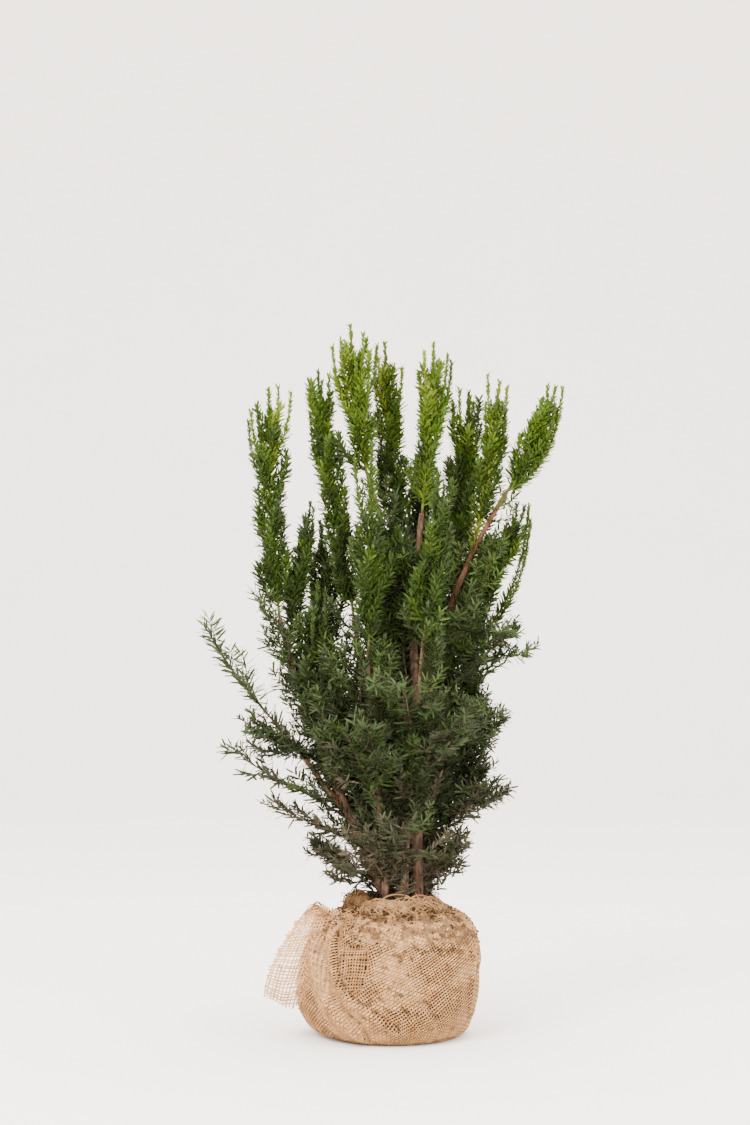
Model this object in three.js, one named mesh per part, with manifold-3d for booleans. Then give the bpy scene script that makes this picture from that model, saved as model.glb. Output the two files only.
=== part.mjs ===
// A young hedging yew with several upright stems, standing on a root ball wrapped in burlap.
// Millimetres, +Z up. The origin is the centre of the ball's flat underside; the free flap of
// cloth points to -X and the open front of the plant to -Y.
import * as THREE from 'three';
import ManifoldModule from 'manifold-3d';

const wasm = await ManifoldModule();
wasm.setup();

// ---- driving dimensions -------------------------------------------------------------------

const GAP = 0.3; // clear space between neighbouring pieces
const CUT_BACK = 0.5; // how far a piece is cut back from a limb's faceted sides
const BALL_CUT_BACK = 0.75; // the same from the ball, whose shoulder slopes

const RIM_HEIGHT = 168; // top of the wrap's neck
const SOIL_HEIGHT = 160; // flat top of the soil inside the neck
const WRAP_THICKNESS = 4;
const BALL_SHIFT = -12; // the ball bulges to the left of its foot and neck
const SHIFT_END = 0.8; // part of the height over which it does
const WRAP_SIDES = 28;
const SOIL_SIDES = 16;
const FOLDS = 5; // folds of cloth round the ball
const FOLD_HEIGHT = 2.2; // how far they stand out of it
const FOLD_SWEEP = 7; // how far they run round it on their way up, radians
const GATHERS = 9; // gathers below the neck
const GATHER_HEIGHT = 3;
const ROLL_RADIUS = 5; // the rolled end of cloth, at its ends
const ROLL_SWELL = 4; // and how much thicker it is in the middle
const FLAP_THICKNESS = 2.6;
const FLAP_ROWS = 6;
const FLAP_COLUMNS = 4;
const FLAP_BULGE = 42; // how far the flap's outer edge bellies out
const FLAP_DISH = 9; // how far its middle bends to the front
const FLAP_ARCH = 7; // how far its top arches up and its foot hangs down

// radius and height up the ball, from the flat underside to the neck
const BALL_PROFILE = [
  [75, 0], [93, 7], [103, 19], [111, 42], [112, 72],
  [108, 106], [100, 130], [84, 148], [61, 159], [50, RIM_HEIGHT],
];

const STEM_FOOT = SOIL_HEIGHT + GAP;
const STEM_SIDES = 6;
const RING_SPACING = 72; // along a stem
const FLARE = 0.2; // extra radius of a stem where it enters the soil
const FLARE_LENGTH = 14;
const TAPER = 0.8; // below 1, a limb thins faster towards its tip

const SHOOT_SIDES = 3;
const SHOOT_RADIUS = 2.3; // where a shoot starts
const SHOOT_TIP_RADIUS = 1.3;
const SHOOT_TWIST = 0.4; // turn of the needles from one ring to the next, radians
const TIP_LENGTH = 7;
const GOLDEN_ANGLE = 2.399963;
const NEEDLE_LEAN = 0.9; // angle between a needle and its shoot, radians
const TWIG_ANGLE = 0.75; // angle at which a twig leaves its shoot, radians
const TWIG_ROOT = 3; // from a shoot's side to the first ring of a twig on it
const TWIG_LENGTHS = [1.15, 0.75]; // share of its kind's length at a shoot's foot and at its end
const TWIG_OVERSHOOT = 12; // how far a twig may end beyond its shoot's tip
const UNEVEN = [0.85, 1.1]; // range of the random share that makes lengths uneven
const TRIES = 6; // patches tried for a twig that would touch something
const ROOT_SHARE = 0.3; // part of the way to a twig's first ring where twigs may meet
const NEEDLE_FOOT = 0.25; // part of a needle's length where it may meet the needles beside it

// ---- small tools --------------------------------------------------------------------------

const DICE_STEP = 977; // from one mass's random numbers to the next one's
let dice = 0;
function random() {
  dice = (dice * 1664525 + 1013904223) % 4294967296;
  return dice / 4294967296;
}

function between(low, high) {
  return low + (high - low) * random();
}

function vector([x, y, z]) {
  return new THREE.Vector3(x, y, z);
}

function solidOf(points, triangles) {
  const vertProperties = new Float32Array(points.flatMap((p) => [p.x, p.y, p.z]));
  const triVerts = new Uint32Array(triangles.flat());
  return new wasm.Manifold(new wasm.Mesh({ numProp: 3, vertProperties, triVerts }));
}

function geometryOf(solid) {
  const mesh = solid.getMesh();
  const geometry = new THREE.BufferGeometry();
  geometry.setAttribute('position', new THREE.BufferAttribute(mesh.vertProperties, 3));
  geometry.setIndex(new THREE.BufferAttribute(mesh.triVerts, 1));
  geometry.computeVertexNormals();
  return geometry;
}

function largestPiece(solid) {
  const pieces = solid.decompose();
  return pieces.reduce((best, piece) => (piece.volume() > best.volume() ? piece : best));
}

function boxOf(solid) {
  const { min, max } = solid.boundingBox();
  return new THREE.Box3(vector(min), vector(max));
}

// a solid with the box round it
function boxed(solid) {
  return { solid, box: boxOf(solid) };
}

// true when a boxed solid keeps the gap to every one of the others
function isClear({ solid, box }, others, gap = GAP) {
  const near = box.clone().expandByScalar(gap);
  const search = gap + 0.05;
  return others.every((other) => !near.intersectsBox(other.box)
    || other.solid.minGap(solid, search) >= search);
}

// a smooth path between two points, with its direction of travel at each end
function pathBetween(start, end, startTangent, endTangent) {
  const at = (t) => {
    const a = 2 * t ** 3 - 3 * t ** 2 + 1;
    const b = t ** 3 - 2 * t ** 2 + t;
    const c = t ** 3 - t ** 2;
    return start.clone().multiplyScalar(a)
      .addScaledVector(startTangent, b)
      .addScaledVector(end, 1 - a)
      .addScaledVector(endTangent, c);
  };
  const along = (t) => {
    const step = 0.01;
    return at(Math.min(t + step, 1)).sub(at(Math.max(t - step, 0))).normalize();
  };
  return { at, along, length: start.distanceTo(end) };
}

// rings of points round a path; `turn` twists each ring against the one before
function ringsAlong(path, stations, sides, radiusAt, turn) {
  const chord = path.at(1).sub(path.at(0)).normalize();
  const level = new THREE.Vector3(-chord.y, chord.x, 0);
  const reference = level.length() > 0.2 ? level.normalize() : new THREE.Vector3(1, 0, 0);
  return stations.map((t, ring) => {
    const centre = path.at(t);
    const along = path.along(t);
    const across = reference.clone().addScaledVector(along, -reference.dot(along)).normalize();
    const third = along.clone().cross(across);
    const points = [];
    for (let k = 0; k < sides; k += 1) {
      const angle = 2 * Math.PI * k / sides + ring * turn;
      points.push(centre.clone()
        .addScaledVector(across, radiusAt(t) * Math.cos(angle))
        .addScaledVector(third, radiusAt(t) * Math.sin(angle)));
    }
    return { centre, along, points };
  });
}

// ---- skins: points and triangles that are joined loop by loop into one closed solid

function newSkin() {
  return { points: [], triangles: [] };
}

function addLoop(skin, points) {
  return points.map((point) => skin.points.push(point) - 1);
}

function addCap(skin, loop, facesBack) {
  for (let k = 1; k < loop.length - 1; k += 1) {
    const [a, b, c] = [loop[0], loop[k], loop[k + 1]];
    skin.triangles.push(facesBack ? [a, c, b] : [a, b, c]);
  }
}

function addPoint(skin, loop, point) {
  const end = skin.points.push(point) - 1;
  loop.forEach((index, k) => skin.triangles.push([index, loop[(k + 1) % loop.length], end]));
}

// a band of triangles between two loops that run the same way and may differ in size
function addBand(skin, lower, upper) {
  const distance = (a, b) => skin.points[a].distanceTo(skin.points[b]);
  const nearest = upper.reduce((near, index) => (
    distance(lower[0], index) < distance(lower[0], near) ? index : near));
  const first = lower.length === upper.length ? 0 : upper.indexOf(nearest);
  const low = (i) => lower[i % lower.length];
  const high = (j) => upper[(first + j) % upper.length];
  let i = 0;
  let j = 0;
  while (i < lower.length || j < upper.length) {
    const lowerNext = j === upper.length || (i < lower.length && (lower.length === upper.length
      ? i === j : distance(low(i + 1), high(j)) < distance(low(i), high(j + 1))));
    if (lowerNext) {
      skin.triangles.push([low(i), low(i + 1), high(j)]);
      i += 1;
    } else {
      skin.triangles.push([low(i), high(j + 1), high(j)]);
      j += 1;
    }
  }
}

// closes a row of rings into a solid, with a flat end or one drawn out to a tip
function tubeSolid(rings, tip) {
  const skin = newSkin();
  const loops = rings.map((ring) => addLoop(skin, ring.points));
  addCap(skin, loops[0], true);
  loops.slice(1).forEach((loop, k) => addBand(skin, loops[k], loop));
  if (tip) {
    addPoint(skin, loops[loops.length - 1], tip);
  } else {
    addCap(skin, loops[loops.length - 1], false);
  }
  return solidOf(skin.points, skin.triangles);
}

function evenly(count, start = 0, end = 1) {
  return Array.from({ length: count + 1 }, (_, i) => start + (end - start) * i / count);
}

// ---- root ball ----------------------------------------------------------------------------

// the ball's surface moved out by `offset`, between two heights, as a closed solid
function ballSolid({ offset, bottom, top, sides, folded }) {
  const inner = BALL_PROFILE.filter(([, height]) => height > bottom && height < top);
  const heights = [bottom, ...inner.map(([, height]) => height), top];
  const rings = heights.map((height) => {
    const points = [];
    for (let k = 0; k < sides; k += 1) {
      points.push(ballPoint(2 * Math.PI * k / sides, height, offset, folded));
    }
    return { points };
  });
  return tubeSolid(rings);
}

function profileRadius(height) {
  const clamped = THREE.MathUtils.clamp(height, 0, RIM_HEIGHT);
  const upper = Math.max(1, BALL_PROFILE.findIndex(([, level]) => level >= clamped));
  const [r0, z0] = BALL_PROFILE[upper - 1];
  const [r1, z1] = BALL_PROFILE[upper];
  return r0 + (r1 - r0) * (clamped - z0) / (z1 - z0);
}

function ballPoint(angle, height, offset, folded) {
  const level = height / RIM_HEIGHT;
  const belly = Math.max(0, Math.sin(Math.PI * level));
  const spiral = Math.max(0, Math.sin(FOLDS * angle + FOLD_SWEEP * level)) * FOLD_HEIGHT * belly;
  const gather = Math.max(0, Math.sin(GATHERS * angle)) * GATHER_HEIGHT * belly * level ** 3;
  const radius = profileRadius(height) + offset + (folded ? spiral + gather : 0);
  const shift = BALL_SHIFT * Math.sin(Math.PI * THREE.MathUtils.clamp(level / SHIFT_END, 0, 1) ** 0.6);
  return new THREE.Vector3(
    shift + radius * Math.cos(angle),
    radius * Math.sin(angle),
    height,
  );
}

const wrapOuter = { offset: 0, bottom: 0, top: RIM_HEIGHT, sides: WRAP_SIDES, folded: true };
const soilShape = {
  offset: -WRAP_THICKNESS, bottom: WRAP_THICKNESS, top: SOIL_HEIGHT, sides: SOIL_SIDES, folded: false,
};
const soil = ballSolid(soilShape);
const cavity = ballSolid({
  ...soilShape, offset: -WRAP_THICKNESS + BALL_CUT_BACK, bottom: WRAP_THICKNESS - GAP, top: RIM_HEIGHT + 1,
});
const wrap = ballSolid(wrapOuter).subtract(cavity);
const wrapClearance = ballSolid({
  ...wrapOuter, offset: BALL_CUT_BACK, bottom: -BALL_CUT_BACK, top: RIM_HEIGHT + BALL_CUT_BACK,
});

// the rolled end of cloth that lies on the left of the neck
function rolledCloth() {
  const start = new THREE.Vector3(-62, 10, 160);
  const end = new THREE.Vector3(-42, -26, 167);
  const path = pathBetween(start, end, new THREE.Vector3(10, -30, 20), new THREE.Vector3(24, -22, 2));
  const swell = (t) => ROLL_RADIUS + ROLL_SWELL * Math.sin(Math.PI * t);
  const rings = ringsAlong(path, evenly(6), 7, swell, 0.3);
  return largestPiece(tubeSolid(rings).subtract(wrapClearance));
}

// the loose tongue of cloth that stands out from the ball's left side
function looseFlap() {
  const points = [];
  for (const side of [-0.5, 0.5]) {
    for (const down of evenly(FLAP_ROWS)) {
      for (const out of evenly(FLAP_COLUMNS)) {
        const inner = new THREE.Vector3(-78 - 30 * down, -34, 153 - 104 * down);
        const belly = FLAP_BULGE * Math.sin(1.45 * down);
        const outer = new THREE.Vector3(-117 - belly, -30 - 16 * down, 153 - 92 * down);
        const point = inner.lerp(outer, out);
        const middle = Math.sin(Math.PI * out);
        point.y += -FLAP_DISH * middle + 4 * Math.sin(5 * down) + side * FLAP_THICKNESS;
        point.z += FLAP_ARCH * middle * (1 - 2 * down);
        points.push(point);
      }
    }
  }
  return largestPiece(sheetSolid(points, FLAP_ROWS, FLAP_COLUMNS).subtract(wrapClearance));
}

// two layers of grid points joined round their edge
function sheetSolid(points, rows, columns) {
  const width = columns + 1;
  const layer = width * (rows + 1);
  const triangles = [];
  const face = (a, b, c, d) => triangles.push([a, b, c], [a, c, d]);
  for (let row = 0; row < rows; row += 1) {
    for (let column = 0; column < columns; column += 1) {
      const a = row * width + column;
      face(a, a + 1, a + 1 + width, a + width);
      face(layer + a, layer + a + width, layer + a + width + 1, layer + a + 1);
    }
  }
  const wall = (a, b) => face(b, a, a + layer, b + layer);
  for (let column = 0; column < columns; column += 1) {
    wall(column, column + 1);
    wall(rows * width + column + 1, rows * width + column);
  }
  for (let row = 0; row < rows; row += 1) {
    wall((row + 1) * width, row * width);
    wall(row * width + columns, (row + 1) * width + columns);
  }
  const sheet = solidOf(points, triangles);
  return sheet.volume() > 0 ? sheet : solidOf(points, triangles.map(([a, b, c]) => [a, c, b]));
}

// ---- stems and boughs ---------------------------------------------------------------------

// A stem starts at `foot` on the soil, a bough at the height `fork` on the limb named by `on`.
// `lean` and `tipLean` are how far the limb moves in x and y for each millimetre it rises.
const LIMBS = [
  {
    name: 'stem_main', foot: [26, -11],
    lean: [0.01, -0.04], tip: [32, -24, 650], tipLean: [0.12, 0.02], radius: 8, tipRadius: 3,
  },
  {
    name: 'stem_left', foot: [-7, -6],
    lean: [-0.44, -0.15], tip: [-144, -33, 520], tipLean: [-0.23, 0], radius: 6.5, tipRadius: 2.7,
  },
  {
    name: 'stem_centre', foot: [7, 6],
    lean: [-0.09, 0.05], tip: [-34, 0, 690], tipLean: [-0.37, -0.05], radius: 5.2, tipRadius: 2.7,
  },
  {
    name: 'stem_right_centre', foot: [36, 13],
    lean: [0.08, 0.08], tip: [78, 30, 590], tipLean: [0.05, 0.01], radius: 5, tipRadius: 2.7,
  },
  {
    name: 'stem_back_left', foot: [-10, 16],
    lean: [-0.21, 0.15], tip: [-81, 48, 465], tipLean: [-0.26, 0.1], radius: 5, tipRadius: 2.7,
  },
  {
    name: 'stem_back', foot: [9, 20],
    lean: [0, 0.12], tip: [4, 44, 590], tipLean: [-0.05, 0], radius: 5, tipRadius: 2.7,
  },
  {
    name: 'stem_front', foot: [10, -28],
    lean: [0, -0.3], tip: [34, -84, 500], tipLean: [0.1, 0.05], radius: 4.6, tipRadius: 2.7,
  },
  {
    name: 'stem_front_left', foot: [-12, -26],
    lean: [-0.03, -0.3], tip: [-34, -78, 480], tipLean: [0, 0.1], radius: 4.4, tipRadius: 2.7,
  },
  {
    name: 'stem_back_low', foot: [12, 33],
    lean: [-0.05, 0.3], tip: [22, 104, 500], tipLean: [0.08, 0], radius: 4.4, tipRadius: 2.7,
  },
  {
    name: 'stem_back_right', foot: [29, 24],
    lean: [0.1, 0.25], tip: [76, 84, 500], tipLean: [0.05, 0], radius: 4.4, tipRadius: 2.7,
  },
  {
    name: 'bough_centre_left', on: 'stem_centre', fork: 361,
    lean: [-0.57, 0.05], tip: [-53, 9, 520], tipLean: [-0.14, 0], radius: 4, tipRadius: 2.6,
  },
  {
    name: 'bough_right', on: 'stem_main', fork: 306,
    lean: [0.08, 0.1], tip: [138, -12, 677], tipLean: [0.64, -0.05], radius: 5.2, tipRadius: 2.6,
  },
  {
    name: 'bough_left_outer', on: 'stem_left', fork: 273,
    lean: [-0.84, -0.2], tip: [-113, -31, 345], tipLean: [-0.8, -0.13], radius: 3.8, tipRadius: 2.6,
  },
];

const limbs = new Map();

function limbPath({ foot, lean, tip, tipLean }) {
  const rise = tip[2] - foot[2];
  const tangent = ([x, y]) => new THREE.Vector3(x * rise, y * rise, rise);
  return pathBetween(vector(foot), vector(tip), tangent(lean), tangent(tipLean));
}

// one tapering limb; a stem's foot is cut level with the soil
function limbSolid(limb, path, extra) {
  const { radius, tipRadius, on } = limb;
  const flare = (t) => (on ? 0 : FLARE * radius * Math.exp(-t * path.length / FLARE_LENGTH));
  const radiusAt = (t) => tipRadius + (radius - tipRadius) * (1 - t) ** TAPER + flare(t) + extra;
  const count = Math.max(3, Math.round(path.length / RING_SPACING));
  const foot = on ? [0] : [0, 0.5 / count];
  const stations = [...foot, ...evenly(count).slice(1)];
  const end = extra ? 1 + extra / path.length : 1;
  const rings = ringsAlong(path, stations, STEM_SIDES, radiusAt, 0);
  if (end > 1) {
    const tip = rings[rings.length - 1];
    tip.points.forEach((point) => point.addScaledVector(tip.along, extra));
  }
  if (!on) {
    const { along, points } = rings[0];
    points.forEach((point) => point.addScaledVector(along, (STEM_FOOT - point.z) / along.z));
  }
  return tubeSolid(rings);
}

for (const limb of LIMBS) {
  const host = limb.on && limbs.get(limb.on);
  const foot = host ? host.path.at(host.heightToPlace(limb.fork)).toArray() : [...limb.foot, STEM_FOOT];
  const path = limbPath({ ...limb, foot });
  const heightToPlace = (height) => (height - foot[2]) / (limb.tip[2] - foot[2]);
  const clearance = limbSolid(limb, path, CUT_BACK);
  const whole = limbSolid(limb, path, 0);
  const solid = host ? largestPiece(whole.subtract(host.clearance)) : whole;
  limbs.set(limb.name, { ...boxed(solid), name: limb.name, path, heightToPlace, clearance });
}

// ---- foliage ------------------------------------------------------------------------------

// A mass is one leading shoot and the twigs that branch from it, all set with needles. Its
// leading shoot starts on the limb named by `on`, at the height `from` or else at the limb's
// tip, and ends at `tip`; one with a height `to` instead runs beside its limb as far as that,
// on the side that points to the angle `side`. `reach` is how far the twigs stand out, and
// `dice` gives a mass other random numbers than its place in the list does.
const PLUMES = [
  { name: 'plume_left', on: 'stem_left', tip: [-158, -26, 804], twigs: 12, reach: 21 },
  { name: 'plume_main', on: 'stem_main', tip: [47, -12, 860], twigs: 8, reach: 22 },
  { name: 'plume_centre', on: 'stem_centre', tip: [-57, -6, 884], twigs: 11, reach: 32 },
  { name: 'plume_centre_left', on: 'bough_centre_left', tip: [-98, 14, 828], twigs: 8, reach: 21 },
  { name: 'plume_back', on: 'stem_back', tip: [-14, 45, 866], twigs: 8, reach: 18 },
  { name: 'plume_right_centre', on: 'stem_right_centre', tip: [92, 30, 803], twigs: 8, reach: 21, dice: 102 },
  { name: 'plume_right', on: 'bough_right', tip: [198, -16, 805], twigs: 6, reach: 15 },
  { name: 'plume_right_inner', on: 'bough_right', from: 590, tip: [130, 8, 815], twigs: 7, reach: 15 },
  { name: 'plume_front', on: 'stem_front', tip: [50, -70, 700], twigs: 6, reach: 22 },
  { name: 'plume_front_left', on: 'stem_front_left', tip: [-30, -58, 735], twigs: 8, reach: 26 },
  { name: 'plume_back_low', on: 'stem_back_low', tip: [36, 92, 745], twigs: 6, reach: 26 },
  { name: 'plume_back_right', on: 'stem_back_right', tip: [84, 80, 735], twigs: 6, reach: 26 },
  { name: 'plume_back_left', on: 'stem_back_left', tip: [-96, 62, 640], twigs: 6, reach: 26, dice: 101 },
  {
    name: 'plume_right_outer',
    on: 'stem_right_centre', from: 470, tip: [160, -14, 659], twigs: 6, reach: 14,
  },
  { name: 'plume_left_inner', on: 'stem_left', from: 470, tip: [-107, -12, 661], twigs: 4, reach: 10 },
  { name: 'plume_mid_left', on: 'stem_left', from: 385, tip: [-97, -50, 562], twigs: 7, reach: 26 },
];
const SLEEVES = [
  { name: 'sleeve_left_low', on: 'stem_left', from: 300, to: 440, side: 45, twigs: 5, reach: 42 },
  { name: 'sleeve_front_left', on: 'stem_front_left', from: 350, to: 470, side: 190, twigs: 6, reach: 44 },
  { name: 'sleeve_main_low', on: 'stem_main', from: 230, to: 400, side: 100, twigs: 6, reach: 46 },
  { name: 'sleeve_main_high', on: 'stem_main', from: 420, to: 590, side: 200, twigs: 7, reach: 34 },
  { name: 'sleeve_centre_low', on: 'stem_centre', from: 280, to: 440, side: 230, twigs: 6, reach: 46 },
  {
    name: 'sleeve_centre_high', kind: 'plume',
    on: 'stem_centre', from: 460, to: 660, side: 270, twigs: 7, reach: 22,
  },
  { name: 'sleeve_right_low', on: 'stem_right_centre', from: 270, to: 430, side: 30, twigs: 6, reach: 46 },
  { name: 'sleeve_right_high', on: 'bough_right', from: 440, to: 610, side: 330, twigs: 9, reach: 46 },
  { name: 'sleeve_back', on: 'stem_back', from: 300, to: 500, side: 100, twigs: 6, reach: 46 },
  { name: 'sleeve_back_low', on: 'stem_back_low', from: 230, to: 440, side: 120, twigs: 6, reach: 46 },
  { name: 'sleeve_back_right', on: 'stem_back_right', from: 230, to: 440, side: 40, twigs: 6, reach: 46 },
  { name: 'sleeve_back_left', on: 'stem_back_left', from: 220, to: 420, side: 140, twigs: 6, reach: 46 },
];
const SPRAYS = [
  { name: 'spray_left_fork', on: 'stem_left', from: 430, tip: [-167, -45, 546], twigs: 3, reach: 20 },
  { name: 'spray_left_outer', on: 'bough_left_outer', tip: [-236, -48, 512], twigs: 5, reach: 22 },
  { name: 'spray_left_low', on: 'stem_left', from: 262, tip: [-202, -62, 364], twigs: 6, reach: 34 },
  { name: 'spray_left_third', on: 'stem_left', from: 330, tip: [-168, -14, 385], twigs: 4, reach: 26 },
  { name: 'spray_left_lowest', on: 'stem_left', from: 230, tip: [-153, 6, 290], twigs: 3, reach: 26 },
  { name: 'spray_low_left', on: 'stem_left', from: 184, tip: [-98, -22, 236], twigs: 6, reach: 34 },
  {
    name: 'spray_low_front_left',
    on: 'stem_front_left', from: 195, tip: [-44, -105, 255], twigs: 6, reach: 38,
  },
  { name: 'spray_low_front', on: 'stem_front', from: 200, tip: [6, -125, 270], twigs: 6, reach: 38 },
  { name: 'spray_low_right', on: 'stem_main', from: 182, tip: [76, -34, 234], twigs: 6, reach: 34 },
  { name: 'spray_right_low', on: 'stem_right_centre', from: 250, tip: [116, -18, 306], twigs: 5, reach: 34 },
  { name: 'spray_right_mid', on: 'stem_right_centre', from: 330, tip: [116, 0, 400], twigs: 5, reach: 34 },
  { name: 'spray_right_front', on: 'stem_front', from: 300, tip: [92, -85, 410], twigs: 6, reach: 38 },
  {
    name: 'spray_right_upper',
    on: 'stem_right_centre', from: 415, tip: [136, -22, 506], twigs: 7, reach: 42,
  },
  { name: 'spray_front', on: 'stem_front', from: 360, tip: [8, -132, 450], twigs: 6, reach: 40 },
  { name: 'spray_front_left', on: 'stem_front_left', from: 290, tip: [-62, -118, 390], twigs: 6, reach: 40 },
];
const MASSES = [
  ...PLUMES.map((mass) => ({ kind: 'plume', ...mass })),
  ...SLEEVES.map((mass) => ({ kind: 'sleeve', ...mass })),
  ...SPRAYS.map((mass) => ({ kind: 'spray', ...mass })),
];

// how each kind grows: needle length, ring pitch, rise at the tips, flatness of its sprays,
// how far its leading shoot follows its limb at first, and its twigs' length and rise
const KINDS = {
  plume: { needle: 24, pitch: 17, lift: 1.1, flat: 0, start: 0.9, twig: 48, twigRise: 0.9 },
  spray: { needle: 28, pitch: 19, lift: 0.35, flat: 0.45, start: 0.5, twig: 56, twigRise: 0.25 },
  sleeve: { needle: 28, pitch: 19, lift: 0, flat: 0.2, start: 0, twig: 64, twigRise: 0.5 },
};
const SLEEVE_OFFSET = 11; // from the middle of a stem to the shoot that runs beside it

const UP = new THREE.Vector3(0, 0, 1);

// the leading shoot's path: off the limb along its own direction, then up to its tip
function leaderPath({ on, from, tip }, { lift, start }) {
  const host = limbs.get(on);
  const place = from ? host.heightToPlace(from) : 1;
  const foot = host.path.at(place);
  const end = vector(tip);
  const length = foot.distanceTo(end);
  const toTip = end.clone().sub(foot).normalize();
  const startTangent = host.path.along(place).multiplyScalar(from ? start : 1).add(toTip).normalize();
  const endTangent = toTip.clone().addScaledVector(UP, lift).normalize();
  return pathBetween(foot, end, startTangent.multiplyScalar(length), endTangent.multiplyScalar(length));
}

// the path of a leading shoot that runs beside its limb
function sleevePath({ on, from, to, side }) {
  const host = limbs.get(on);
  const [low, high] = [from, to].map((height) => host.path.at(host.heightToPlace(height)));
  const angle = THREE.MathUtils.degToRad(side);
  const outward = new THREE.Vector3(Math.cos(angle), Math.sin(angle), 0).multiplyScalar(SLEEVE_OFFSET);
  const length = low.distanceTo(high);
  const along = high.clone().sub(low);
  const startTangent = along.clone().addScaledVector(outward, length / SLEEVE_OFFSET / 2);
  return pathBetween(low, high.clone().add(outward), startTangent, along);
}

// a twig's path: out from the leading shoot, then nearly parallel to it
function twigPath(foot, along, outward, length, reach, rise) {
  const sideways = Math.min(length * Math.sin(TWIG_ANGLE), reach);
  const forward = Math.sqrt(length ** 2 - sideways ** 2);
  const end = foot.clone().addScaledVector(outward, sideways).addScaledVector(along, forward);
  end.addScaledVector(UP, rise * sideways * 0.4);
  const startTangent = outward.clone().multiplyScalar(1.6 * sideways).addScaledVector(along, 0.6 * forward);
  const endTangent = along.clone().multiplyScalar(forward).addScaledVector(UP, rise * sideways);
  return pathBetween(foot, end, startTangent, endTangent);
}

// a shoot without needles: its rings, the patches of skin between them and its bare core
function shootAlong(path, pitch, radius) {
  const body = path.length - TIP_LENGTH;
  const count = Math.max(2, Math.round(body / pitch));
  const radiusAt = (t) => radius + (SHOOT_TIP_RADIUS - radius) * t;
  const stations = evenly(count, 0, body / path.length);
  const rings = ringsAlong(path, stations, SHOOT_SIDES, radiusAt, SHOOT_TWIST);
  const patches = [];
  for (let ring = 0; ring < count; ring += 1) {
    for (let side = 0; side < SHOOT_SIDES; side += 1) {
      patches.push(patchOf(rings, ring, side));
    }
  }
  return { rings, patches, length: path.length, tip: path.at(1), ...boxed(tubeSolid(rings, path.at(1))) };
}

// the four-cornered patch of skin between two rings on one side, which can bear a needle or twig
function patchOf(rings, ring, side) {
  const next = (side + 1) % SHOOT_SIDES;
  const corners = [
    rings[ring].points[side], rings[ring].points[next],
    rings[ring + 1].points[next], rings[ring + 1].points[side],
  ];
  const middle = corners.reduce((sum, p) => sum.add(p), new THREE.Vector3()).multiplyScalar(0.25);
  const axis = rings[ring].centre.clone().add(rings[ring + 1].centre).multiplyScalar(0.5);
  const along = rings[ring].along.clone().add(rings[ring + 1].along).normalize();
  const outward = middle.clone().sub(axis);
  outward.addScaledVector(along, -outward.dot(along)).normalize();
  return { ring, side, corners, middle, along, outward, place: ring / rings.length };
}

// where a needle ends that stands on a patch; needles are shorter towards a shoot's tip
function needleApex({ middle, along, outward, place }, kind) {
  const level = Math.hypot(outward.x, outward.y);
  const flatness = 1 - kind.flat * (1 - level);
  const fade = 1 - 0.5 * place ** 3;
  const length = kind.needle * flatness * fade * between(...UNEVEN);
  const lean = NEEDLE_LEAN * between(...UNEVEN);
  return middle.clone()
    .addScaledVector(outward, length * Math.sin(lean))
    .addScaledVector(along, length * Math.cos(lean));
}

function needleSolid(corners, apex) {
  return solidOf([...corners, apex], [[0, 1, 4], [1, 2, 4], [2, 3, 4], [3, 0, 4], [0, 2, 1], [0, 3, 2]]);
}

// the side to which twig number k should go: both sides of a flat spray in turn, else all round
function wantedSide(along, k, flat) {
  const level = new THREE.Vector3(-along.y, along.x, 0.001).normalize();
  const upper = along.clone().cross(level);
  const azimuth = flat > 0.4 ? (k % 2) * Math.PI + between(-0.4, 0.4) : k * GOLDEN_ANGLE;
  return level.multiplyScalar(Math.cos(azimuth)).addScaledVector(upper, Math.sin(azimuth));
}

// a twig as a solid from the given corners of its root on
function rootedTwig({ rings, tip }, corners) {
  return boxed(tubeSolid([{ points: corners }, ...rings], tip));
}

// Twigs on patches of the leading shoot, each on the best placed patch where it is clear.
// Twigs on neighbouring patches meet at their roots, so only the part above has to be clear.
function branch(leader, mass, kind, others) {
  const twigs = [];
  const last = leader.rings.length - 2;
  for (let k = 0; k < mass.twigs; k += 1) {
    const ring = 1 + Math.floor((last - 1) * (k + 0.5) / mass.twigs);
    const wanted = wantedSide(leader.rings[ring].along, k, kind.flat);
    const left = leader.length * (1 - ring / last);
    const share = THREE.MathUtils.lerp(...TWIG_LENGTHS, ring / last);
    const length = Math.min(kind.twig * share, left + TWIG_OVERSHOOT) * between(...UNEVEN);
    const free = leader.patches
      .filter((patch) => !patch.twig && Math.abs(patch.ring - ring) <= 1 && patch.ring > 0)
      .sort((a, b) => b.outward.dot(wanted) - a.outward.dot(wanted));
    for (const patch of free.slice(0, TRIES)) {
      const foot = patch.middle.clone().addScaledVector(patch.outward, TWIG_ROOT);
      const path = twigPath(foot, patch.along, patch.outward, length, mass.reach, kind.twigRise);
      const core = shootAlong(path, kind.pitch, SHOOT_RADIUS * 0.8);
      const twig = { ...core, ...rootedTwig(core, patch.corners) };
      const raised = patch.corners.map((corner) => corner.clone().lerp(foot, ROOT_SHARE));
      const upperPart = rootedTwig(core, raised);
      const outerPart = boxed(tubeSolid(core.rings.slice(1), core.tip));
      if (isClear(twig, others) && isClear(upperPart, twigs, 0) && isClear(outerPart, [leader], 0)) {
        patch.twig = twig;
        twigs.push(twig);
        break;
      }
    }
  }
  return twigs;
}

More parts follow.
